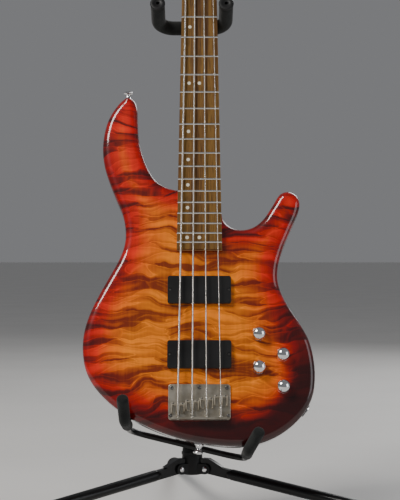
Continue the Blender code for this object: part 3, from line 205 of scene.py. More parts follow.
class Look:
    """A procedural material, built node by node in the coordinates of the piece that wears it."""

    def __init__(self, name, slot=None, **settings):
        self.material = bpy.data.materials.new(name)
        self.material.use_nodes = True
        self.tree = self.material.node_tree
        self.slot = slot
        self.shader = self.tree.nodes["Principled BSDF"]
        for socket, value in settings.items():
            self.shader.inputs[socket.replace("_", " ").title().replace("Ior", "IOR")].default_value = value
        self.place = self.node("ShaderNodeTexCoord").outputs["Object"]

    def node(self, kind, inputs=None, **settings):
        made = self.tree.nodes.new(kind)
        for name, value in settings.items():
            setattr(made, name, value)
        for socket, value in (inputs or {}).items():
            if isinstance(value, bpy.types.NodeSocket):
                self.tree.links.new(value, made.inputs[socket])
            else:
                made.inputs[socket].default_value = value
        return made

    def math(self, operation, a, b=0.0, c=0.0, clamp=False):
        return self.node("ShaderNodeMath", {0: a, 1: b, 2: c}, operation=operation,
                         use_clamp=clamp).outputs[0]

    def vector(self, operation, *inputs, output=0):
        return self.node("ShaderNodeVectorMath", dict(enumerate(inputs)), operation=operation).outputs[output]

    def stretched(self, by, place=None):
        return self.vector("MULTIPLY", place or self.place, by)

    def voronoi(self, place, scale, feature, randomness=1.0):
        inputs = {"Vector": place, "Scale": scale, "Randomness": randomness}
        return self.node("ShaderNodeTexVoronoi", inputs, feature=feature)

    def edge_depth(self):
        """How far inside the body's edge a point lies, in metres."""
        return self.node("ShaderNodeAttribute", attribute_name="edge_depth").outputs["Fac"]

    def noise(self, place, scale, detail=2.0, roughness=0.5, distortion=0.0, output=0):
        inputs = {"Vector": place, "Scale": scale, "Detail": detail, "Roughness": roughness,
                  "Distortion": distortion}
        return self.node("ShaderNodeTexNoise", inputs).outputs[output]

    def ramp(self, value, *stops, smooth=False):
        """A colour or a grey level at each place on a scale from 0 to 1."""
        made = self.node("ShaderNodeValToRGB", {0: value})
        made.color_ramp.interpolation = "EASE" if smooth else "LINEAR"
        points = made.color_ramp.elements
        while len(points) < len(stops):
            points.new(0.5)
        for point, (at, colour) in zip(points, sorted(stops, key=lambda stop: stop[0])):
            point.position = at
            point.color = (*colour, 1) if isinstance(colour, tuple) else (colour, colour, colour, 1)
        return made.outputs[0]

    def mix(self, share, a, b, blend="MIX"):
        made = self.node("ShaderNodeMix", data_type="RGBA", blend_type=blend)
        for index, value in ((0, share), (6, a), (7, b)):
            if isinstance(value, bpy.types.NodeSocket):
                self.tree.links.new(value, made.inputs[index])
            else:
                made.inputs[index].default_value = (*value, 1) if isinstance(value, tuple) else value
        return made.outputs[2]

    def wear(self, colour=None, roughness=None, height=None, bump=0.2, distance=0.0005, metallic=None):
        """Links what varies over the surface to the shader."""
        for socket, value in (("Base Color", colour), ("Roughness", roughness), ("Metallic", metallic)):
            if value is not None:
                self.tree.links.new(value, self.shader.inputs[socket])
        if height is not None:
            inputs = {"Height": height, "Strength": bump, "Distance": distance}
            self.tree.links.new(self.node("ShaderNodeBump", inputs).outputs[0], self.shader.inputs["Normal"])
        return self


def quilted(look):
    """Rows of soft clouds with narrow folds between them: 0 in a fold, 1 on a cloud. The folds and clouds are
    the maple's figure; each cloud's lighter top and darker lower side are painted shading.
    """
    wander = look.noise(look.place, 11, detail=2, output=1)
    ripple = look.noise(look.place, 45, detail=2, output=1)
    bend = look.vector("MULTIPLY_ADD", wander, (0.050, 0, 0.050), look.place)
    bend = look.vector("MULTIPLY_ADD", ripple, (0.010, 0, 0.008), bend)
    cells = look.stretched((12.5, 3.0, 72.0), bend)
    edge = look.voronoi(cells, 1.0, "DISTANCE_TO_EDGE", 0.95).outputs[0]
    cell = look.voronoi(cells, 1.0, "F1", 0.95)
    offset = look.vector("SUBTRACT", cells, cell.outputs["Position"])
    rise = look.node("ShaderNodeSeparateXYZ", {0: offset}).outputs["Z"]
    body = look.ramp(edge, (0.0, 0.60), (0.018, 0.42), (0.05, 0.12), (0.13, 0.30), (0.24, 0.75), (0.42, 1.0))
    # painted shading: each cloud lighter at its top and darker on its lower side, as if lit from above
    lit = look.math("MULTIPLY_ADD", rise, 0.75, 0.12)
    cloud = look.math("ADD", body, lit, clamp=True)
    waves = look.noise(look.stretched((9.0, 3.0, 62.0), bend), 1, detail=1.5, distortion=0.4)
    band = look.ramp(waves, (0.36, 0.0), (0.46, 0.30), (0.54, 0.85), (0.66, 1.0))
    line = look.ramp(waves, (0.485, 0.0), (0.497, 0.34), (0.512, 0.0))
    blended = look.math("MULTIPLY_ADD", band, 0.70, look.math("MULTIPLY_ADD", cloud, 0.50, -0.20))
    return look.math("ADD", blended, line, clamp=True)


def make_looks():
    looks = {}

    def add(name, slot, **settings):
        looks[name] = Look(name, slot, **settings)
        return looks[name]

    # Sunburst lacquer over quilted maple, darker towards the edge; towards the lower treble side a painted
    # shade widens the dark edge and takes it to near black
    look = add("sunburst", "top_finish", roughness=0.42, specular_ior_level=0.15, coat_weight=1.0,
               coat_roughness=0.06, coat_ior=1.5)
    depth = look.edge_depth()
    patchy = look.noise(look.place, 18, detail=3)
    depth = look.math("MULTIPLY_ADD", patchy, 0.024, look.math("SUBTRACT", depth, 0.012))
    # painted shade: darker towards the lower treble side, where the light falls off, by narrowing the burst's
    # depth there
    low_treble_side = look.vector("DOT_PRODUCT", look.place, (0.42, 0, -0.91), output="Value")
    painted_shade_low_treble = look.math("MULTIPLY_ADD", low_treble_side, 9.0, 0.72, clamp=True)
    depth = look.math("MULTIPLY_ADD", painted_shade_low_treble, -0.022, depth)
    share = look.math("MULTIPLY", depth, 10.0, clamp=True)
    cloud = look.ramp(share, (0.0, (0.30, 0.001, 0.0)), (0.08, (0.54, 0.002, 0.0)),
                      (0.20, (0.80, 0.026, 0.0)),
                      (0.36, (0.93, 0.16, 0.0)), (0.62, (1.0, 0.26, 0.0)))
    fold = look.ramp(share, (0.0, (0.04, 0.0, 0.0)), (0.12, (0.07, 0.0, 0.0)), (0.34, (0.15, 0.007, 0.0)),
                     (0.70, (0.20, 0.026, 0.0)))
    rim = look.ramp(share, (0.0, 0.93), (0.10, 0.86), (0.30, 0.0))
    # painted shade: the edge band on the lower treble side mixed towards near black
    painted_shade_on_rim = look.math("MULTIPLY", rim, painted_shade_low_treble)
    quilt = quilted(look)
    pleats = look.noise(look.stretched((260, 60, 22)), 1, detail=2)
    quilt = look.math("MULTIPLY_ADD", pleats, 0.30, look.math("SUBTRACT", quilt, 0.15), clamp=True)
    look.wear(colour=look.mix(painted_shade_on_rim, look.mix(quilt, fold, cloud), (0.020, 0.0, 0.0)))

    look = add("cherry", "back_finish", roughness=0.34, coat_weight=1.0, coat_roughness=0.05, coat_ior=1.5)
    share = look.math("MULTIPLY", look.edge_depth(), 14.0, clamp=True)
    grain = look.noise(look.stretched((95, 30, 5)), 1, detail=4, roughness=0.6, distortion=0.6)
    stain = look.ramp(share, (0.0, (0.075, 0.004, 0.003)), (0.5, (0.21, 0.012, 0.006)),
                      (1.0, (0.30, 0.030, 0.010)))
    veins = look.ramp(grain, (0.32, (0.35, 0.30, 0.30)), (0.62, (1.0, 1.0, 1.0)))
    look.wear(colour=look.mix(0.85, stain, veins, "MULTIPLY"))

    look = add("maple", "neck_wood", roughness=0.38, coat_weight=0.35, coat_roughness=0.25)
    grain = look.noise(look.stretched((120, 120, 5)), 1, detail=5, roughness=0.62, distortion=0.8)
    flecks = look.noise(look.stretched((900, 900, 30)), 1, detail=2)
    wood = look.ramp(grain, (0.30, (0.42, 0.22, 0.085)), (0.55, (0.58, 0.34, 0.15)),
                     (0.75, (0.66, 0.42, 0.20)))
    flecked = look.ramp(flecks, (0.35, (0.82, 0.78, 0.72)), (0.55, (1.0, 1.0, 1.0)))
    look.wear(colour=look.mix(1.0, wood, flecked, "MULTIPLY"), height=flecks, bump=0.08)

    look = add("rosewood", "board_wood", roughness=0.5, specular_ior_level=0.25)
    bands = look.noise(look.stretched((120, 60, 2.2)), 1, detail=4, roughness=0.65, distortion=0.35)
    pores = look.noise(look.stretched((1500, 900, 45)), 1, detail=3, roughness=0.6)
    wood = look.ramp(bands, (0.30, (0.050, 0.020, 0.006)), (0.44, (0.125, 0.056, 0.013)),
                     (0.55, (0.20, 0.105, 0.020)),
                     (0.68, (0.115, 0.048, 0.014)), (0.8, (0.24, 0.135, 0.030)))
    dark = look.ramp(pores, (0.36, (0.35, 0.30, 0.28)), (0.50, (1.0, 1.0, 1.0)))
    look.wear(colour=look.mix(1.0, wood, dark, "MULTIPLY"),
              roughness=look.ramp(pores, (0.3, 0.62), (0.6, 0.44)),
              height=pores, bump=0.25, distance=0.0003)

    look = add("bone", "nut_bone", roughness=0.35, subsurface_weight=0.1)
    mottle = look.noise(look.place, 400, detail=3)
    look.wear(colour=look.ramp(mottle, (0.35, (0.66, 0.60, 0.47)), (0.65, (0.82, 0.77, 0.65))))

    look = add("pearl", "nut_bone", roughness=0.22, coat_weight=0.5)
    mottle = look.noise(look.place, 700, detail=3, distortion=1.5)
    look.wear(colour=look.ramp(mottle, (0.35, (0.62, 0.57, 0.42)), (0.65, (0.85, 0.82, 0.70))))

    for name, slot, base, rough, grain, depth in (
        ("pickup_plastic", "black_plastic", 0.006, 0.45, 900, 0.10),
        ("moulded_plastic", "black_plastic", 0.006, 0.42, 1400, 0.22),
        ("rubber", "rubber", 0.016, 0.78, 700, 0.35),
    ):
        look = add(name, slot, specular_ior_level=0.28)
        fine = look.noise(look.place, grain, detail=3)
        wide = look.noise(look.place, 28, detail=3)
        look.wear(colour=look.ramp(wide, (0.3, (base, base, base * 1.05)),
                                   (0.7, (base * 1.9, base * 1.9, base * 1.95))),
                  roughness=look.ramp(wide, (0.3, rough - 0.06), (0.7, rough + 0.06)), height=fine,
                  bump=depth, distance=0.0003)

    look = add("painted_steel", "black_steel", specular_ior_level=0.25, coat_weight=0.15, coat_roughness=0.15)
    peel = look.noise(look.place, 260, detail=2)
    scuffs = look.noise(look.stretched((90, 90, 14)), 1, detail=6, roughness=0.75)
    marks = look.ramp(scuffs, (0.66, 0.0), (0.72, 0.35))
    look.wear(colour=look.mix(marks, (0.005, 0.005, 0.0055), (0.035, 0.035, 0.036)),
              roughness=look.ramp(scuffs, (0.3, 0.24), (0.7, 0.40)), height=peel, bump=0.12, distance=0.0004)

    look = add("foam", "foam", roughness=0.95, specular_ior_level=0.12, sheen_weight=0.10,
               sheen_roughness=0.5)
    cells = look.voronoi(look.place, 620.0, "F1").outputs[0]
    wide = look.noise(look.place, 60, detail=4, roughness=0.6)
    look.wear(colour=look.ramp(wide, (0.3, (0.010, 0.011, 0.011)), (0.7, (0.021, 0.023, 0.022))),
              height=cells, bump=0.55, distance=0.0006)

    for name, slot, colour, low, high, marks in (
        ("chrome", "chrome", (0.84, 0.84, 0.85), 0.035, 0.10, 60),
        ("fret_wire", "nickel", (0.80, 0.78, 0.73), 0.16, 0.30, 200),
        ("dark_screw", "nickel", (0.16, 0.155, 0.15), 0.28, 0.42, 300),
    ):
        look = add(name, slot, metallic=1.0)
        smudge = look.noise(look.place, marks, detail=4, roughness=0.6)
        dull = tuple(channel * 0.86 for channel in colour)
        look.wear(colour=look.ramp(smudge, (0.3, dull), (0.6, colour)),
                  roughness=look.ramp(smudge, (0.3, high), (0.65, low)))

    look = add("nickel", "nickel", metallic=1.0)
    brushed = look.noise(look.stretched((45, 700, 1500)), 1, detail=3, roughness=0.6)
    tarnish = look.noise(look.place, 70, detail=4)
    look.wear(colour=look.ramp(tarnish, (0.3, (0.33, 0.29, 0.22)), (0.65, (0.56, 0.52, 0.44))),
              roughness=look.ramp(brushed, (0.3, 0.30), (0.7, 0.44)), height=brushed, bump=0.10,
              distance=0.0002)

    look = add("wound_string", "string_wire", metallic=1.0)
    inputs = {"Vector": look.place, "Scale": 620.0}
    wrap = look.node("ShaderNodeTexWave", inputs, wave_type="BANDS", bands_direction="Z").outputs[1]
    tarnish = look.noise(look.place, 40, detail=3)
    look.wear(colour=look.ramp(tarnish, (0.3, (0.50, 0.47, 0.42)), (0.7, (0.74, 0.72, 0.68))),
              roughness=look.ramp(tarnish, (0.3, 0.34), (0.7, 0.24)), height=wrap, bump=0.5, distance=0.0002)

    look = add("circuit", "circuit", roughness=0.45)
    tracks = look.voronoi(look.place, 160.0, "DISTANCE_TO_EDGE").outputs[0]
    look.wear(colour=look.ramp(tracks, (0.04, (0.45, 0.22, 0.06)), (0.07, (0.012, 0.11, 0.045))))

    look = add("floor", None, roughness=0.6)
    grain = look.noise(look.place, 3, detail=4)
    look.wear(colour=look.ramp(grain, (0.3, (0.70, 0.69, 0.67)), (0.7, (0.74, 0.73, 0.71))))
    return looks


LOOKS = make_looks()

# ------------------------------------------------------------ shapes


def loose_object(bm):
    mesh = bpy.data.meshes.new("shape")
    bm.to_mesh(mesh)
    bm.free()
    return add_object("shape", mesh)


def closed_shape(bm):
    bmesh.ops.remove_doubles(bm, verts=bm.verts, dist=1e-4)
    bmesh.ops.recalc_face_normals(bm, faces=bm.faces)
    return loose_object(bm)


def moved(shape, at=(0, 0, 0), turn=(0, 0, 0)):
    shape.data.transform(Matrix.LocRotScale(Vector(at), Euler(turn), None))
    shape.data.update_tag()
    return shape


def together(shapes):
    """One object that holds several loose shapes."""
    bm = bmesh.new()
    for shape in shapes:
        bm.from_mesh(shape.data)
        bpy.data.objects.remove(shape)
    return loose_object(bm)


def boolean(operation, body, *tools):
    for tool in tools:
        step = body.modifiers.new("step", "BOOLEAN")
        step.operation = operation
        step.solver = "EXACT"
        step.object = tool
    graph = bpy.context.evaluated_depsgraph_get()
    result = bpy.data.meshes.new_from_object(body.evaluated_get(graph))
    body.modifiers.clear()
    body.data = result
    for tool in tools:
        bpy.data.objects.remove(tool)
    return body


def cut(body, *tools):
    return boolean("DIFFERENCE", body, *tools)


def joined(body, *tools):
    return boolean("UNION", body, *tools)


def along(axis, first, second, level):
    return {"x": (level, first, second), "y": (first, level, second), "z": (first, second, level)}[axis]


def stitch(bm, loops):
    """A band of four-sided faces between each loop of corners and the next."""
    for lower, upper in zip(loops, loops[1:]):
        for i, corner in enumerate(lower):
            j = (i + 1) % len(lower)
            bm.faces.new((corner, lower[j], upper[j], upper[i]))


def loft(rings, closed=False):
    """A solid through rings of equally many points: capped, or bent round onto its first ring."""
    bm = bmesh.new()
    loops = [[bm.verts.new(point) for point in ring] for ring in rings]
    stitch(bm, loops + loops[:1] if closed else loops)
    if not closed:
        bm.faces.new(loops[0])
        bm.faces.new(loops[-1])
    return closed_shape(bm)


def prism(outline, start, end, axis="y"):
    return loft([[along(axis, a, b, level) for a, b in outline] for level in (start, end)])


def box(low, high):
    (x0, y0, z0), (x1, y1, z1) = low, high
    return prism(((x0, y0), (x1, y0), (x1, y1), (x0, y1)), z0, z1, "z")


def circle(radius, centre=(0, 0), steps=32):
    turns = [math.tau * i / steps for i in range(steps)]
    return [(centre[0] + radius * math.cos(t), centre[1] + radius * math.sin(t)) for t in turns]


def turned(profile, axis="z", centre=(0, 0), steps=32, closed=False):
    rings = [[along(axis, a, b, level) for a, b in circle(radius, centre, steps)] for radius,
             level in profile]
    return loft(rings, closed)


def disc(radius, start, end, axis="z", centre=(0, 0), steps=32):
    return turned(((radius, start), (radius, end)), axis, centre, steps)


def ring(inner, outer, start, end, axis="z", steps=48):
    return turned(((inner, start), (outer, start), (outer, end), (inner, end)), axis, steps=steps,
                  closed=True)


def hull_of_circles(centres, radius, steps=48):
    points = [Vector(point) for centre in centres for point in circle(radius, centre, steps)]
    return [points[i] for i in convex_hull_2d(points)]


def rounded_rectangle(width, height, corner, centre=(0, 0)):
    x, z = width / 2 - corner, height / 2 - corner
    corners = [(centre[0] + i * x, centre[1] + k * z) for i in (-1, 1) for k in (-1, 1)]
    return hull_of_circles(corners, corner, 32)


def rounded_path(corners, fillets, step=math.radians(6)):
    """Straight runs between corners, with each inner corner rounded to its fillet radius."""
    points = [corners[0]]
    for before, corner, after, radius in zip(corners, corners[1:], corners[2:], fillets):
        back, onward = (before - corner).normalized(), (after - corner).normalized()
        half = back.angle(onward) / 2
        centre = corner + (back + onward).normalized() * radius / math.sin(half)
        first = corner + back * radius / math.tan(half) - centre
        last = corner + onward * radius / math.tan(half) - centre
        count = math.ceil((math.pi - 2 * half) / step)
        points += [centre + first.slerp(last, i / count).normalized() * radius for i in range(count + 1)]
    return points + [corners[-1]]


def rod(points, radius, steps=20, swell=None):
    """A round bar along the points; swell holds each point's share of the radius."""
    points = [Vector(point) for point in points]
    runs = [(after - before).normalized() for before, after in zip(points, points[1:])]
    headings = [runs[0], *[(a + b).normalized() for a, b in zip(runs, runs[1:])], runs[-1]]
    side = headings[0].orthogonal().normalized()
    rings = []
    for i, (centre, heading) in enumerate(zip(points, headings)):
        side = (side - heading * side.dot(heading)).normalized()
        other = heading.cross(side)
        reach = radius * (swell[i] if swell else 1)
        rings.append([centre + side * a + other * b for a, b in circle(reach, steps=steps)])
    return loft(rings)


def smooth_through(points, steps):
    """Points on a centripetal Catmull-Rom curve through the given ones."""
    points = [Vector(point) for point in points]
    guides = [2 * points[0] - points[1], *points, 2 * points[-1] - points[-2]]
    found = []
    for a, b, c, d in zip(guides, guides[1:], guides[2:], guides[3:]):
        knots = [0.0]
        for near, far in ((a, b), (b, c), (c, d)):
            knots.append(knots[-1] + math.sqrt((far - near).length))
        for i in range(steps):
            t = knots[1] + (knots[2] - knots[1]) * i / steps
            level = [a, b, c, d]
            for spans in (((0, 1), (1, 2), (2, 3)), ((0, 2), (1, 3)), ((1, 2),)):
                level = [
                    near.lerp(far, (t - knots[first]) / (knots[last] - knots[first]))
                    for near, far, (first, last) in zip(level, level[1:], spans)
                ]
            found.append(level[0])
    return found + [points[-1]]


def helix(radius, start, end, turns, axis="z", centre=(0, 0), steps=20, first=0.0):
    count = math.ceil(turns * steps)
    points = []
    for i in range(count + 1):
        t = first + math.tau * turns * i / count
        level = start + (end - start) * i / count
        points.append(Vector(along(axis, centre[0] + radius * math.cos(t), centre[1] + radius * math.sin(t),
                                   level)))
    return points


def screw(radius, height, centre=(0, 0), face=0.0, axis="y", outward=-1):
    """A domed screw head with a socket, standing on a face."""
    profile = ((1.0, -0.6), (1.0, 0.45), (0.93, 0.75), (0.78, 0.95), (0.5, 1.0), (0.42, 0.92), (0.40, 0.2),
               (0.02, 0.15))
    return turned([(radius * r, face + outward * height * h) for r, h in profile], axis, centre, 20)


def four_screws(radius, height, spread, centre, face):
    """Four heads on a back face, at the corners of a rectangle."""
    spots = [(centre[0] + i * spread[0], centre[1] + k * spread[1]) for i in (-1, 1) for k in (-1, 1)]
    return together([screw(radius, height, spot, face, outward=1) for spot in spots])


def soften(shape, bevel, segments):
    """Rounds the sharp edges of a shape, as wide as bevel in millimetres."""
    rounding = shape.modifiers.new("rounding", "BEVEL")
    rounding.width = bevel * MM
    rounding.segments = segments
    rounding.limit_method = "ANGLE"
    rounding.angle_limit = math.radians(40)
    return rounding


def piece(name, shape, look, body, base=None, at=(0, 0, 0), turn=(0, 0, 0), stands_for=None, bevel=0.0):
    """Names a finished shape, scales it to metres, and gives it its material, place and body."""
    mesh = shape.data
    mesh.transform(Matrix.Scale(MM, 4))
    mesh.materials.clear()
    mesh.materials.append(LOOKS[look].material)
    mesh.shade_smooth()
    mesh.set_sharp_from_angle(angle=SHARP_EDGE)
    shape.name = mesh.name = name
    shape.matrix_world = (base or GUITAR) @ Matrix.LocRotScale(Vector(at) * MM, Euler(turn), None)
    if bevel:
        soften(shape, bevel, 3).harden_normals = True
    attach(shape, body)
    if stands_for:
        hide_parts(stands_for)
    return shape


def keep(node, look, bevel=0.0):
    """A CAD node that stays, with its own procedural material and softened edges."""
    shape = frame["nodes"][node]
    shape.data.materials.clear()
    shape.data.materials.append(LOOKS[look].material)
    if bevel:
        soften(shape, bevel, 2)


# ------------------------------------------------------------ guitar body


def outward(outline, i):
    ahead = outline[(i + 1) % len(outline)] - outline[i - 1]
    return Vector((ahead.y, -ahead.x)).normalized()


def room_inside(outline, i):
    here, inward = outline[i], -outward(outline, i)
    reaches = [(other - here, (other - here).dot(inward)) for other in outline]
    return min(arm.length_squared / (2 * depth) for arm, depth in reaches if depth > 1e-4)


def edge_at(outline, near):
    i = min(range(len(outline)), key=lambda k: (outline[k] - Vector(near)).length)
    normal = outward(outline, i)
    return outline[i], (0, math.atan2(normal.x, normal.y), 0)


def depth_inside(points, outline):
    """How far points lie from the body's edge, leaving out the mouth of the neck pocket."""
    points, line = np.array(points, float), np.array([tuple(p) for p in outline], float)
    best = np.full(len(points), 1e9)
    for start, end in zip(line, line[1:]):
        run = end - start
        share = np.clip((points - start) @ run / (run @ run), 0, 1)
        best = np.minimum(best, np.hypot(*(points - start - share[:, None] * run).T))
    return best


def body_half(outline, widths, joint_y, edge_y, face_y, round_steps=9, net=4.0):
    """Half of the body: a wide rounded edge, and a fine net over the flat face."""
    levels = [(0, joint_y)]
    for k in range(round_steps + 1):
        turn = math.pi / 2 * k / round_steps
        levels.append((1 - math.cos(turn), edge_y + (face_y - edge_y) * math.sin(turn)))
    insets = [[p - outward(outline, i) * widths[i] * share for i, p in enumerate(outline)] for share,
              _ in levels]
    insets.append([p - outward(outline, i) * widths[i] * 1.08 for i, p in enumerate(outline)])
    levels.append((1.08, face_y))
    bm = bmesh.new()
    loops = [[bm.verts.new((p.x, y, p.y)) for p in inset] for inset, (_, y) in zip(insets, levels)]
    stitch(bm, loops)
    bm.faces.new(loops[0])
    rim = insets[-1]
    xs, zs = [p.x for p in rim], [p.y for p in rim]
    inner = [
        Vector((x, z))
        for x in np.arange(min(xs), max(xs), net)
        for z in np.arange(min(zs), max(zs), net)
    ]
    points, _, faces, sources, *_ = delaunay_2d_cdt(rim + inner, [], [list(range(len(rim)))], 1, 1e-5)
    corners = {}
    for i, source in enumerate(sources):
        on_rim = [k for k in source if k < len(rim)]
        corners[i] = loops[-1][on_rim[0]] if on_rim else None
    for face in faces:
        loop = []
        for i in face:
            if corners[i] is None:
                corners[i] = bm.verts.new((points[i].x, face_y, points[i].y))
            loop.append(corners[i])
        bm.faces.new(loop)
    return closed_shape(bm)


def mark_depth(shape, outline):
    mesh = shape.data
    spots = np.empty(len(mesh.vertices) * 3, np.float32)
    mesh.vertices.foreach_get("co", spots)
    spots = spots.reshape(-1, 3)[:, [0, 2]]
    depth = mesh.attributes.new("edge_depth", "FLOAT", "POINT")
    depth.data.foreach_set("value", (depth_inside(spots, outline) * MM).astype(np.float32))
    return shape


def build_body():
    outline = smooth_through(OUTLINE, 8)
    widths = [min(EDGE_WIDTH, 0.8 * room_inside(outline, i)) for i in range(len(outline))]
    top = body_half(outline, widths, TOP_THICKNESS, EDGE_DEPTH, 0)
    piece("body_top_sunburst", mark_depth(top, outline), "sunburst", "guitar", stands_for="body_top")
    back = body_half(outline, widths, TOP_THICKNESS, BODY_THICKNESS - EDGE_DEPTH, BODY_THICKNESS, net=8.0)
    cover_outline = hull_of_circles(KNOBS.values(), 21.0)
    cut(back, prism(hull_of_circles(KNOBS.values(), 21.6), 39.7, THROUGH))
    piece("body_back_cherry", mark_depth(back, outline), "cherry", "guitar", stands_for="body_back")

    cover = prism(cover_outline, 40.0, BODY_THICKNESS)
    piece("rear_cover", cover, "moulded_plastic", "guitar", stands_for="control_cover", bevel=0.5)
    spots = [(63.5, 94), (89, 107), (128.5, 66), (127, 10), (100, 2.5), (64, 42)]
    heads = [screw(2.6, 1.2, spot, BODY_THICKNESS, outward=1) for spot in spots]
    piece("rear_cover_screws", together(heads), "dark_screw", "guitar")

    spot, turn = edge_at(outline, JACK_NEAR)
    at = (spot.x, JACK_Y, spot.y)
    cup = turned(((3.3, -18), (3.3, -0.6), (4.6, 0.4), (5.6, 0.9), (8.0, 0.9), (9.0, 0.3), (9.0, -2.5),
                  (3.3, -18.6)),
                 closed=True, steps=48)
    piece("jack_socket", cup, "moulded_plastic", "guitar", at=at, turn=turn, stands_for="output_jack")
    nut = cut(turned(((5.4, 0.6), (5.4, 1.9), (5.1, 2.2)), steps=6), disc(3.5, -THROUGH, THROUGH))
    piece("jack_nut", nut, "chrome", "guitar", at=at, turn=turn, bevel=0.25)

    profile = ((1.9, -20), (1.9, 0.3), (6.2, 0.4), (6.35, 1.0), (6.0, 2.2), (4.4, 3.6), (3.6, 5.2),
               (3.5, 7.4), (3.8, 9.2),
               (5.0, 10.7), (6.4, 11.4), (6.6, 12.1), (6.2, 13.0), (5.0, 13.6), (3.4, 13.9), (3.2, 13.4),
               (0.05, 12.9))
    for name, near in STRAP_BUTTONS.items():
        spot, turn = edge_at(outline, near)
        piece(f"strap_button_{name}_chrome", turned(profile), "chrome", "guitar",
              at=(spot.x, BODY_THICKNESS / 2, spot.y), turn=turn, stands_for=f"strap_button_{name}")
    return outline


# ------------------------------------------------------------ neck, board, nut and strings


def board_half_width(z):
    share = (SCALE_LENGTH - z) / (SCALE_LENGTH - BOARD_END)
    return (NUT_WIDTH + (BOARD_END_WIDTH - NUT_WIDTH) * share) / 2


def neck_ring(z, depth, squareness, steps=28):
    half, height = board_half_width(min(z, SCALE_LENGTH)), depth - NECK_TOP
    points = []
    for i in range(steps + 1):
        turn = math.pi * i / steps
        across = math.copysign(abs(math.cos(turn)) ** (2 / squareness), math.cos(turn))
        points.append((half * across, NECK_TOP + height * math.sin(turn) ** (2 / squareness), z))
    return points


def fret_at(number):
    return SCALE_LENGTH * 2 ** (-number / 12)


def string_y(radius, z):
    share = z / SCALE_LENGTH
    return UNDERSIDE_BRIDGE + (UNDERSIDE_NUT - UNDERSIDE_BRIDGE) * share - radius


def string_x(i, z):
    return (i - 1.5) * (PITCH_BRIDGE + (PITCH_NUT - PITCH_BRIDGE) * z / SCALE_LENGTH)


def fret_wire(z):
    """A half-round wire across the board, with its ends filed at a slant."""
    half, sunk = board_half_width(z), 0.1
    arc = [(math.cos(math.pi * k / 8), math.sin(math.pi * k / 8)) for k in range(9)]
    rings = []
    for x, share in ((-half, 0.25), (-half + 0.9, 1.0), (half - 0.9, 1.0), (half, 0.25)):
        reach = (FRET_HEIGHT + sunk) * share
        rings.append([(x, BOARD_TOP + sunk - reach * up, z + FRET_WIDTH / 2 * side) for side, up in arc])
    return loft(rings)


def build_neck():
    sections = []
    for (z, depth, square), (z_next, depth_next, square_next) in zip(NECK_SECTIONS, NECK_SECTIONS[1:]):
        for k in range(6):
            share = k / 6
            sections.append((z + (z_next - z) * share, depth + (depth_next - depth) * share,
                             square * (square_next / square) ** share))
    sections.append(NECK_SECTIONS[-1])
    neck = loft([neck_ring(*section) for section in sections])
    right = [(x, SCALE_LENGTH + z) for x, z in HEAD_HALF_OUTLINE]
    left = [(-x, z) for x, z in reversed(right)]
    head = prism(smooth_through(right + left, 8), HEAD_FRONT, HEAD_BACK)
    holes = [disc(9.0, -THROUGH, THROUGH, "y", (side * TUNER_X, z)) for _, _, _, side, z in STRINGS]
    cut(head, *holes)
    piece("neck_maple", neck, "maple", "guitar", stands_for="neck")
    piece("headstock_maple", head, "maple", "guitar", bevel=1.2)

    ends = [
        [(-half, BOARD_TOP, z), (half, BOARD_TOP, z), (half, BOARD_BOTTOM, z), (-half, BOARD_BOTTOM, z)]
        for z, half in ((BOARD_END, BOARD_END_WIDTH / 2), (SCALE_LENGTH, NUT_WIDTH / 2))
    ]
    piece("fretboard_rosewood", loft(ends), "rosewood", "guitar", stands_for="fretboard", bevel=0.6)
    frets = [fret_wire(fret_at(number)) for number in range(1, FRET_COUNT + 1)]
    piece("fret_wires", together(frets), "fret_wire", "guitar")

    dots, side_dots = [], []
    for number in (3, 5, 7, 9, 12, 15, 17, 19, 21, 24):
        z = (fret_at(number) + fret_at(number - 1)) / 2
        for gap in ((0, 1) if number in (12, 24) else (0,)):
            x = (string_x(gap, z) + string_x(gap + 1, z)) / 2
            dot = ((2.4, BOARD_TOP + 0.3), (2.4, BOARD_TOP - 0.04), (2.2, BOARD_TOP - 0.07))
            dots.append(turned(dot, "y", (x, z), 24))
            side = -board_half_width(z)
            side_dots.append(disc(1.0, side - 0.05, side + 0.4, "x", (BOARD_TOP + 2.4, z + 6.0 * gap), 16))
    piece("inlay_dots", together(dots), "pearl", "guitar")
    piece("side_dots", together(side_dots), "pearl", "guitar")
    keep("nut", "bone", 0.35)

    plate = prism(rounded_rectangle(50, 38, 5, (0, PLATE_CENTRE)), BODY_THICKNESS + 0.1, BODY_THICKNESS + 2.5)
    piece("neck_plate_chrome", plate, "chrome", "guitar", stands_for="neck_plate", bevel=0.6)
    heads = four_screws(4.2, 1.7, (18, 11), (0, PLATE_CENTRE), BODY_THICKNESS + 2.5)
    piece("neck_plate_screws", heads, "fret_wire", "guitar")


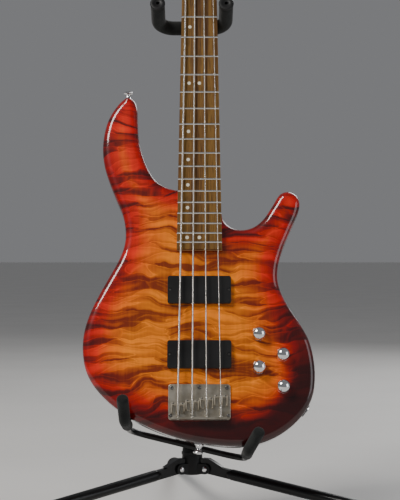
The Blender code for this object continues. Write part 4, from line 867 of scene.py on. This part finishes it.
def build_strings():
    for i, (name, radius, crown_z, side, post_z) in enumerate(STRINGS):
        post_x = side * TUNER_X
        over_nut = NUT_END + GAP
        low_x = string_x(i, 0)
        reach = POST_WAIST + GAP + radius
        path = [
            (post_x - side * reach, WIND_Y, post_z),
            (string_x(i, over_nut), string_y(radius, over_nut), over_nut),
            (string_x(i, SCALE_LENGTH - 4), string_y(radius, SCALE_LENGTH - 4), SCALE_LENGTH - 4),
            (string_x(i, crown_z + 3), string_y(radius, crown_z + 3), crown_z + 3),
            (string_x(i, crown_z), string_y(radius, crown_z) + 0.1, crown_z),
            (low_x, string_y(radius, crown_z) + 1.4, crown_z - 3),
            (low_x, STRING_HOLE_Y - 0.3, -20.5),
            (low_x, STRING_HOLE_Y, -22),
            (low_x, STRING_HOLE_Y, -24.5),
        ]
        piece(f"string_{name}_wound", rod(path, radius, 12), "wound_string", "guitar",
              stands_for=f"string_{name}")
        ball = ring(0.5, 1.5, -1.5, 1.5, "x", 24)
        piece(f"ball_end_{name}", ball, "fret_wire", "guitar", at=(low_x, STRING_HOLE_Y, -23.6), bevel=0.2)
        turns = 2.6 / radius
        first = 0.0 if side < 0 else math.pi
        wind = helix(reach, WIND_Y, WIND_Y + 2.4, min(turns, 2.4) * 0.6 + 0.5, "y", (0, 0), 24, first)
        piece(f"string_{name}_wind", rod(wind, radius, 10), "wound_string", f"{name}_tuner_post",
              at=(post_x, 0, post_z))


# ------------------------------------------------------------ pickups, bridge and controls


def build_pickups():
    for name, z in PICKUPS.items():
        shell = prism(rounded_rectangle(PICKUP_LENGTH, PICKUP_WIDTH, 3.0), PICKUP_TOP, PICKUP_BOTTOM)
        spots = [(side * PICKUP_SCREW_X, 0) for side in (-1, 1)]
        sink = PICKUP_TOP + PICKUP_SCREW_SINK
        holes = [disc(2.1, -THROUGH, sink, "y", spot, 24) for spot in spots]
        piece(f"{name}_shell", cut(shell, *holes), "pickup_plastic", "guitar", at=(0, 0, z), stands_for=name,
              bevel=0.9)
        heads = [screw(1.9, 1.2, spot, sink) for spot in spots]
        piece(f"{name}_screws", together(heads), "dark_screw", "guitar", at=(0, 0, z))


def build_bridge():
    centre, length = (BRIDGE_LOW + BRIDGE_HIGH) / 2, BRIDGE_HIGH - BRIDGE_LOW
    plate = prism(rounded_rectangle(BRIDGE_WIDTH, length, 4.0, (0, centre)), BRIDGE_FRONT, 0.05)
    wall = box((-37, -11.5, -25.3), (37, BRIDGE_FRONT + 1, -22.5))
    holes = []
    for i, (_, radius, *_) in enumerate(STRINGS):
        holes.append(disc(radius + 0.4, -THROUGH, 0, "z", (string_x(i, 0), STRING_HOLE_Y), 20))
    cut(wall, *holes)
    piece("bridge_base", plate, "nickel", "guitar", stands_for="bridge_plate", bevel=0.7)
    piece("bridge_wall", wall, "nickel", "guitar", bevel=0.6)
    spots = [(-37, 17.5), (37, 17.5), (-38.5, -19.5), (38.5, -19.5), (0, 18)]
    heads = [screw(2.5, 1.2, spot, BRIDGE_FRONT) for spot in spots]
    piece("bridge_screws", together(heads), "dark_screw", "guitar")

    crown = SADDLE_CROWN
    for i, (name, _, crown_z, *_) in enumerate(STRINGS):
        x = string_x(i, 0)
        profile = ((-3.1, 2.0), (crown + 1.6, 2.0), (crown + 0.7, 1.6), (crown, 0.2), (crown + 0.25, -1.2),
                   (crown + 7.2, -11.2),
                   (crown + 8.2, -12.0), (-3.1, -12.0))
        block = prism(profile, -9.2, 9.2, "x")
        cut(block, *[box((side * 4.9 - 2.3, crown - 1, -13), (side * 4.9 + 2.3, -4.2, -1.2))
                     for side in (-1, 1)])
        at, body = (x, 0, crown_z), f"{name}_saddle"
        piece(f"saddle_{name}_block", block, "nickel", body, at=at, stands_for=f"saddle_{name}", bevel=0.45)
        grubs = [screw(1.1, 2.2, (dx, 0.6), crown + 0.2) for dx in (-6.2, 6.2)]
        piece(f"saddle_{name}_grubs", together(grubs), "dark_screw", body, at=at)
        spot = (x, INTONATION_Y)
        stem = together([disc(1.1, -22.6, crown_z - 9, "z", spot, 16), screw(2.3, 1.2, spot, -24.2, "z", -1)])
        piece(f"intonation_{name}_screw", stem, "fret_wire", "guitar")
        low, high = -22.3, crown_z - 11.7
        coil = helix(1.9, low, high, 7, "z", spot, 14)
        spring = piece(f"intonation_{name}_spring", rod(coil, 0.35, 6), "fret_wire", "guitar")
        spring.parent = None
        spring.matrix_world = GUITAR
        del spring["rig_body"]
        start, end = (GUITAR @ (Vector((*spot, level)) * MM) for level in (low, high))
        tuple(start)
        tuple(end)
        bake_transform(spring)


def build_knobs():
    base, radius, height = -0.8, 8.75, 16.5
    groove = radius - 0.35
    profile = [(radius - 0.6, base), (radius, base - 0.6), (radius, base - 2.0), (groove, base - 2.4),
               (groove, base - 2.9), (radius, base - 3.3)]
    for k in range(1, 13):
        turn = math.radians(88) * k / 12
        profile.append((radius * math.cos(turn), base - 10.0 - (height - 10.0) * math.sin(turn)))
    for name, (x, z) in KNOBS.items():
        dome = turned(profile, "y", steps=48)
        piece(f"knob_{name}_dome", dome, "chrome", f"{name}_knob", at=(x, 0, z), stands_for=f"knob_{name}")
        washer = turned(((4.0, 0.1), (7.6, 0.1), (7.6, -0.35), (4.0, -0.5)), "y", steps=40)
        piece(f"knob_{name}_washer", washer, "fret_wire", "guitar", at=(x, 0, z))
    keep("control_board", "circuit")


# ------------------------------------------------------------ tuners


def build_tuners():
    for name, _, _, side, z in STRINGS:
        x = side * TUNER_X
        keep(f"tuner_housing_{name}", "chrome", 0.4)
        piece(f"tuner_{name}_screws", four_screws(1.6, 0.9, (9.5, 13.5), (x, z), 14.6), "fret_wire", "guitar")
        post = turned(((5.0, POST_TOP), (5.7, POST_TOP + 0.3), (POST_RADIUS, POST_TOP + 1.0),
                       (POST_RADIUS, WIND_Y - 4.0),
                       (5.5, WIND_Y - 3.3), (POST_WAIST, WIND_Y - 2.6), (POST_WAIST, WIND_Y + 2.6),
                       (5.5, WIND_Y + 3.3),
                       (POST_RADIUS, WIND_Y + 4.0), (POST_RADIUS, 17.0)), "y")
        cut(post, box((-1.3, -THROUGH, -10), (1.3, WIND_Y - 4.5, 10)),
            disc(1.5, -THROUGH, -12.0, "y", steps=20))
        at, body = (x, 0, z), f"{name}_tuner_post"
        piece(f"tuner_post_{name}_chrome", post, "chrome", body, at=at, stands_for=f"tuner_post_{name}")
        teeth = []
        for tooth in range(GEAR_TEETH):
            for share, radius in ((0.0, 6.9), (0.25, 7.0), (0.42, 8.0), (0.58, 8.0), (0.75, 7.0)):
                turn = math.tau / GEAR_TEETH * (tooth + share)
                teeth.append((radius * math.cos(turn), radius * math.sin(turn)))
        piece(f"tuner_gear_{name}", prism(teeth, GEAR_FRONT, GEAR_BACK), "fret_wire", body, at=at)
        hub_screw = screw(2.8, 1.6, (0, 0), GEAR_BACK, outward=1)
        piece(f"tuner_gear_{name}_screw", hub_screw, "dark_screw", body, at=at)

        thread = [(3.0 - 0.35 * (k % 2), -7.4 + 0.62 * k) for k in range(25)]
        profile = [(2.6, -13.5), (3.0, -13.2), (3.0, -11.8), (2.0, -11.8), (2.0, -7.5), *thread, (2.0, 7.6),
                   (2.0, 12.0),
                   (3.2, 12.4), (3.2, 15.5), (2.2, 16.5), (2.2, 24.0)]
        shaft = turned([(radius, side * level) for radius, level in profile], "x", steps=24)
        rings = []
        for k in range(13):
            turn = math.radians(-86 + 172 * k / 12)
            share, level = math.cos(turn) ** 0.35, math.sin(turn) * 3.0
            rings.append([(side * (33.5 + 12.5 * share * a), level, 14.5 * share * b * (1 - 0.12 * a))
                          for a, b in circle(1, steps=40)])
        at, body = (x, WORM_Y, z + WORM_Z), f"{name}_tuner_key"
        piece(f"tuner_key_{name}_shaft", shaft, "chrome", body, at=at, stands_for=f"tuner_key_{name}")
        piece(f"tuner_key_{name}_button", loft(rings), "chrome", body, at=at)


# ------------------------------------------------------------ mast, hub and legs


def build_mast():
    bottom = PIVOT_HEIGHT + HUB_BOTTOM + HUB_FLOOR + GAP
    profile = ((MAST_BORE, bottom), (MAST_RADIUS, bottom), (MAST_RADIUS, MAST_TOP - 0.6),
               (MAST_RADIUS - 0.6, MAST_TOP), (MAST_BORE, MAST_TOP))
    tube = turned(profile, steps=64, closed=True)
    piece("mast_painted", tube, "painted_steel", "stand", STAND, stands_for="mast_tube")
    slider = ring(SLIDER_BORE, SLIDER_RADIUS, SLIDER_LOW, SLIDER_HIGH, steps=56)
    piece("slider_painted", slider, "painted_steel", "upper_mast", STAND, stands_for="mast_slider")
    profile = ((12.8, -15), (15.6, -15), (16.6, -14), (17.0, -12.5), (17.0, -2), (16.4, -1.4), (16.4, -0.2),
               (17.0, 0.4), (17.0, 14), (16.5, 17), (15.2, 19.2), (13.8, 20), (9.8, 20), (9.8, 0.3),
               (12.8, 0.3))
    collar = turned(profile, steps=56, closed=True)
    piece("collar_moulded", collar, "moulded_plastic", "stand", STAND, (0, 0, MAST_TOP),
          stands_for="height_collar")
    boss = turned(((3.3, 12), (8.6, 12), (8.4, 20), (8.0, 23.6), (7.5, 24), (3.3, 24)), "y", steps=40,
                  closed=True)
    piece("collar_boss", boss, "moulded_plastic", "stand", STAND, (0, 0, MAST_TOP + 10))
    lobes = []
    for turn in (math.tau * i / 90 for i in range(90)):
        reach = 14 * (0.88 + 0.12 * math.cos(5 * turn))
        lobes.append((reach * math.cos(turn), reach * math.sin(turn)))
    piece("clamp_knob_lobes", prism(lobes, 24.3, 38.3), "moulded_plastic", "clamp_knob", STAND,
          (0, 0, MAST_TOP + 10),
          stands_for="height_knob", bevel=1.8)
    stem = together([disc(3.0, 9.9, 26, "y", steps=24), screw(4.0, 0.8, (0, 0), 38.3, outward=1)])
    piece("clamp_knob_stem", stem, "fret_wire", "clamp_knob", STAND, (0, 0, MAST_TOP + 10))


def leg_frame(azimuth):
    heading = math.radians(azimuth - 90)
    spot = Vector((math.cos(heading), math.sin(heading), 0)) * PIVOT_REACH + Vector((0, 0, PIVOT_HEIGHT))
    return spot, heading


def build_legs():
    profile = ((12.0, HUB_BOTTOM), (14.0, HUB_BOTTOM), (15.0, -8), (15.0, 15), (14.8, 17), (14.0, 31),
               (13.4, 32),
               (12.8, 32), (12.8, -5), (12.0, -5))
    core = together([turned(profile, steps=56, closed=True), disc(12.9, HUB_BOTTOM, -5.05)])
    at = (0, 0, PIVOT_HEIGHT)
    piece("hub_core", core, "moulded_plastic", "stand", STAND, at, stands_for="leg_hub")
    band = turned(((14.9, 19.5), (15.6, 19.8), (15.6, 23.2), (14.6, 23.5)), steps=56)
    piece("hub_band", cut(band, disc(13.0, -THROUGH, THROUGH)), "moulded_plastic", "stand", STAND, at)
    for name, azimuth in LEGS.items():
        spot, heading = leg_frame(azimuth)
        outline = hull_of_circles([(0, 0), (-14.1, 0)], 7.5)
        for side, label in ((-1, "a"), (1, "b")):
            cheek = prism(outline, side * 4.8, side * 8.4)
            cut(cheek, moved(disc(13.2, -THROUGH, THROUGH), at=(-PIVOT_REACH, 0, 0)))
            cheek_name = f"hub_cheek_{name}_{label}"
            piece(cheek_name, cheek, "moulded_plastic", "stand", STAND, spot, (0, 0, heading), bevel=0.8)
        side = ((2.5, 8.5), (3.9, 8.5), (4.0, 9.0), (3.8, 9.9), (3.0, 10.7), (1.6, 11.1), (0.05, 11.2))
        profile = [(radius, -level) for radius, level in reversed(side)] + list(side)
        rivet = turned(profile, "y")
        piece(f"rivet_{name}", rivet, "chrome", "stand", STAND, spot, (0, 0, heading),
              stands_for=f"leg_pin_{name}")

        turn, body = (0, LEG_SLOPE, heading), f"{name}_leg"
        blade = prism(hull_of_circles([(0, 0), (48, 0)], 6.5), -4.5, 4.5)
        nose = prism([(-8.2, 9), (-8.2, 14), (-6.2, 15), (4, 15), (26, 4), (0, 0)], -4.5, 4.5)
        moved(nose, turn=(0, -LEG_SLOPE, 0))
        joined(blade, nose)
        cut(blade, disc(2.8, -THROUGH, THROUGH, "y"))
        piece(f"leg_{name}_blade", blade, "painted_steel", body, STAND, spot, turn, bevel=0.7)
        tube = turned(((4.6, 33), (5.6, 34), (7.2, 37.5), (LEG_TUBE_RADIUS, 41), (LEG_TUBE_RADIUS, 365)), "x",
                      steps=48)
        piece(f"leg_{name}_tube", tube, "painted_steel", body, STAND, spot, turn, stands_for=f"leg_{name}")
        boot = [(9.4, 336.0), (10.5, 336.6), (10.9, 338.2), (10.5, 339.8), (10.5, 345), (10.9, 346.6),
                (10.5, 348.2)]
        for degrees in range(-30, 89, 6):
            bend = math.radians(degrees)
            boot.append((BOOT_RADIUS * math.cos(bend), BOOT_CENTRE + BOOT_RADIUS * math.sin(bend)))
        foot = turned(boot, "x", steps=48)
        floor = box((-60, -60, -60), (60, 60, -11.5))
        moved(floor, turn=(0, -LEG_SLOPE, 0))
        moved(floor, at=(BOOT_CENTRE, 0, 0))
        cut(foot, floor)
        piece(f"leg_{name}_boot", foot, "rubber", body, STAND, spot, turn, stands_for=f"leg_foot_{name}",
              bevel=0.5)


# ------------------------------------------------------------ cradle and yoke


def cradle_arm(side):
    """The corners of one arm: along the bar, forward under the body, and up at the tip."""
    bend, x = GUITAR_Y - 10.0, side * CRADLE_HALF_WIDTH
    corners = ((0, CRADLE_BAR_Y, CRADLE_BAR_Z), (x, CRADLE_BAR_Y, CRADLE_BAR_Z), (x, bend, CRADLE_BAR_Z),
               (x + side * 6.8, bend - 26, -6.5))
    return [Vector(corner) for corner in corners]


def build_cradle():
    left, right = (rounded_path(cradle_arm(side), (30, 14)) for side in (-1, 1))
    arms = rod(left[:0:-1] + right[1:], CRADLE_ROD_RADIUS, 24)
    piece("cradle_rods", arms, "painted_steel", "cradle", CRADLE, stands_for="cradle_arms")
    profile = ((5.3, -42.5), (9.9, -42.5), (10.5, -41.9), (10.5, -21.6), (9.9, -21), (5.3, -21))
    sleeve = turned(profile, "y", steps=48, closed=True)
    piece("cradle_sleeve", sleeve, "painted_steel", "cradle", CRADLE)
    web = box((-7, -36, -28), (7, -28, -8))
    piece("cradle_web", web, "painted_steel", "cradle", CRADLE, bevel=1.0)

    pad_back = GUITAR_Y + 54
    for name, side in (("left", -1), ("right", 1)):
        *_, bend, tip = cradle_arm(side)
        back_end = Vector((bend.x, pad_back, bend.z))
        path = rounded_path([back_end, bend, tip], (14,))
        extra = [back_end.lerp(path[1], k / 14) for k in range(1, 14)]
        core = [back_end + Vector((0, 0.01, 0)), back_end, *extra, *path[1:]]
        swell = [0.84, 0.97] + [1.0] * (len(core) - 2)
        onward = (tip - path[-2]).normalized()
        core[-1] = tip - onward * 0.5
        dome = ((1.0, 0.26), (0.985, 0.49), (0.93, 0.69), (0.82, 0.85), (0.64, 0.94), (0.40, 0.99),
                (0.12, 1.0))
        for share, rise in dome:
            core.append(tip + onward * rise * CRADLE_PAD_RADIUS)
            swell.append(share)
        pad = rod(core, CRADLE_PAD_RADIUS, 32, swell)
        made = piece(f"cradle_pad_{name}_foam", pad, "foam", "cradle", CRADLE,
                     stands_for=f"cradle_pad_{name}")

    def leaned(shape):
        return moved(shape, turn=(-LEAN_ANGLE, 0, 0))

    at = (0, 0, CRADLE_HEIGHT)
    profile = ((12.8, -15), (16.0, -15), (17.0, -14), (17.0, 14), (16.0, 15), (12.8, 15))
    collar = turned(profile, steps=56, closed=True)
    piece("pivot_collar", collar, "moulded_plastic", "stand", STAND, at, stands_for="cradle_pivot")
    piece("pivot_boss", leaned(disc(10.0, -20.7, -14, "y", steps=40)), "moulded_plastic", "stand", STAND, at)
    pin = [(5.0, -20.7), (5.0, -42.8), (9.0, -42.8), (9.0, -44.6), (8.3, -45.8), (7.0, -46.3), (3.4, -46.3),
           (3.2, -44.6), (0.05, -44.4)]
    piece("pivot_pin", leaned(turned(pin, "y", steps=40)), "fret_wire", "stand", STAND, at)


def build_yoke():
    at, tilt = (0, 0, YOKE_HEIGHT), (-YOKE_TILT, 0, 0)
    corners = [Vector((side * YOKE_HALF_WIDTH, y, 0))
               for side, y in ((-1, -YOKE_REACH), (-1, 0), (1, 0), (1, -YOKE_REACH))]
    path = rounded_path(corners, (22, 22))
    bar = (0, YOKE_BAR_Y, 0)
    bow = moved(rod(path, YOKE_ROD_RADIUS, 20), bar, tilt)
    piece("yoke_rod", bow, "painted_steel", "upper_mast", STAND, at, stands_for="yoke")
    socket = turned(((9.8, -32), (10.9, -32), (11.5, -31.4), (11.5, -22), (11.1, -21.5), (11.1, -20),
                     (11.5, -19.5), (11.5, 5),
                     (10.6, 7.2), (8.6, 8), (0.05, 8)), steps=48)
    piece("yoke_socket", cut(socket, disc(9.8, -THROUGH, -8.7)), "moulded_plastic", "upper_mast", STAND, at)
    piece("yoke_stub", turned(((6.6, -8), (6.0, -13), (6.0, -22)), "y"), "moulded_plastic", "upper_mast",
          STAND, at)
    near = [path[0].lerp(path[1], k / 10) for k in range(10)]
    far = [path[-2].lerp(path[-1], k / 10) for k in range(1, 11)]
    fine = near + path[1:-1] + far
    swell = [0.93] + [1.0] * (len(fine) - 2) + [0.93]
    pad = moved(rod(fine, YOKE_PAD_RADIUS, 32, swell), bar, tilt)
    made = piece("yoke_pad_foam", pad, "foam", "upper_mast", STAND, at, stands_for="yoke_pad")
    profile = ((2.5, -64.3), (9.9, -64.3), (10.5, -64.9), (10.5, -66.3), (9.7, -67.2), (8.2, -67.5),
               (5.2, -67.5),
               (4.4, -67.1), (2.5, -67.1))
    for name, side in (("left", -1), ("right", 1)):
        cap = turned(profile, "y", steps=40, closed=True)
        moved(moved(cap, (side * YOKE_HALF_WIDTH, 0, 0)), bar, tilt)
        piece(f"yoke_cap_{name}_moulded", cap, "moulded_plastic", "upper_mast", STAND, at,
              stands_for=f"yoke_cap_{name}")


def build_floor():
    mesh = bpy.data.meshes.new("studio_floor")
    reach = 40  # metres, far enough for its edge to look like a horizon
    corners = [(-reach, -reach, 0), (reach, -reach, 0), (reach, reach, 0), (-reach, reach, 0)]
    mesh.from_pydata(corners, [], [(0, 1, 2, 3)])
    mesh.materials.append(LOOKS["floor"].material)
    add_object("studio_floor", mesh)


build_body()
build_neck()
build_strings()
build_pickups()
build_bridge()
build_knobs()
build_tuners()
build_mast()
build_legs()
build_cradle()
build_yoke()
build_floor()
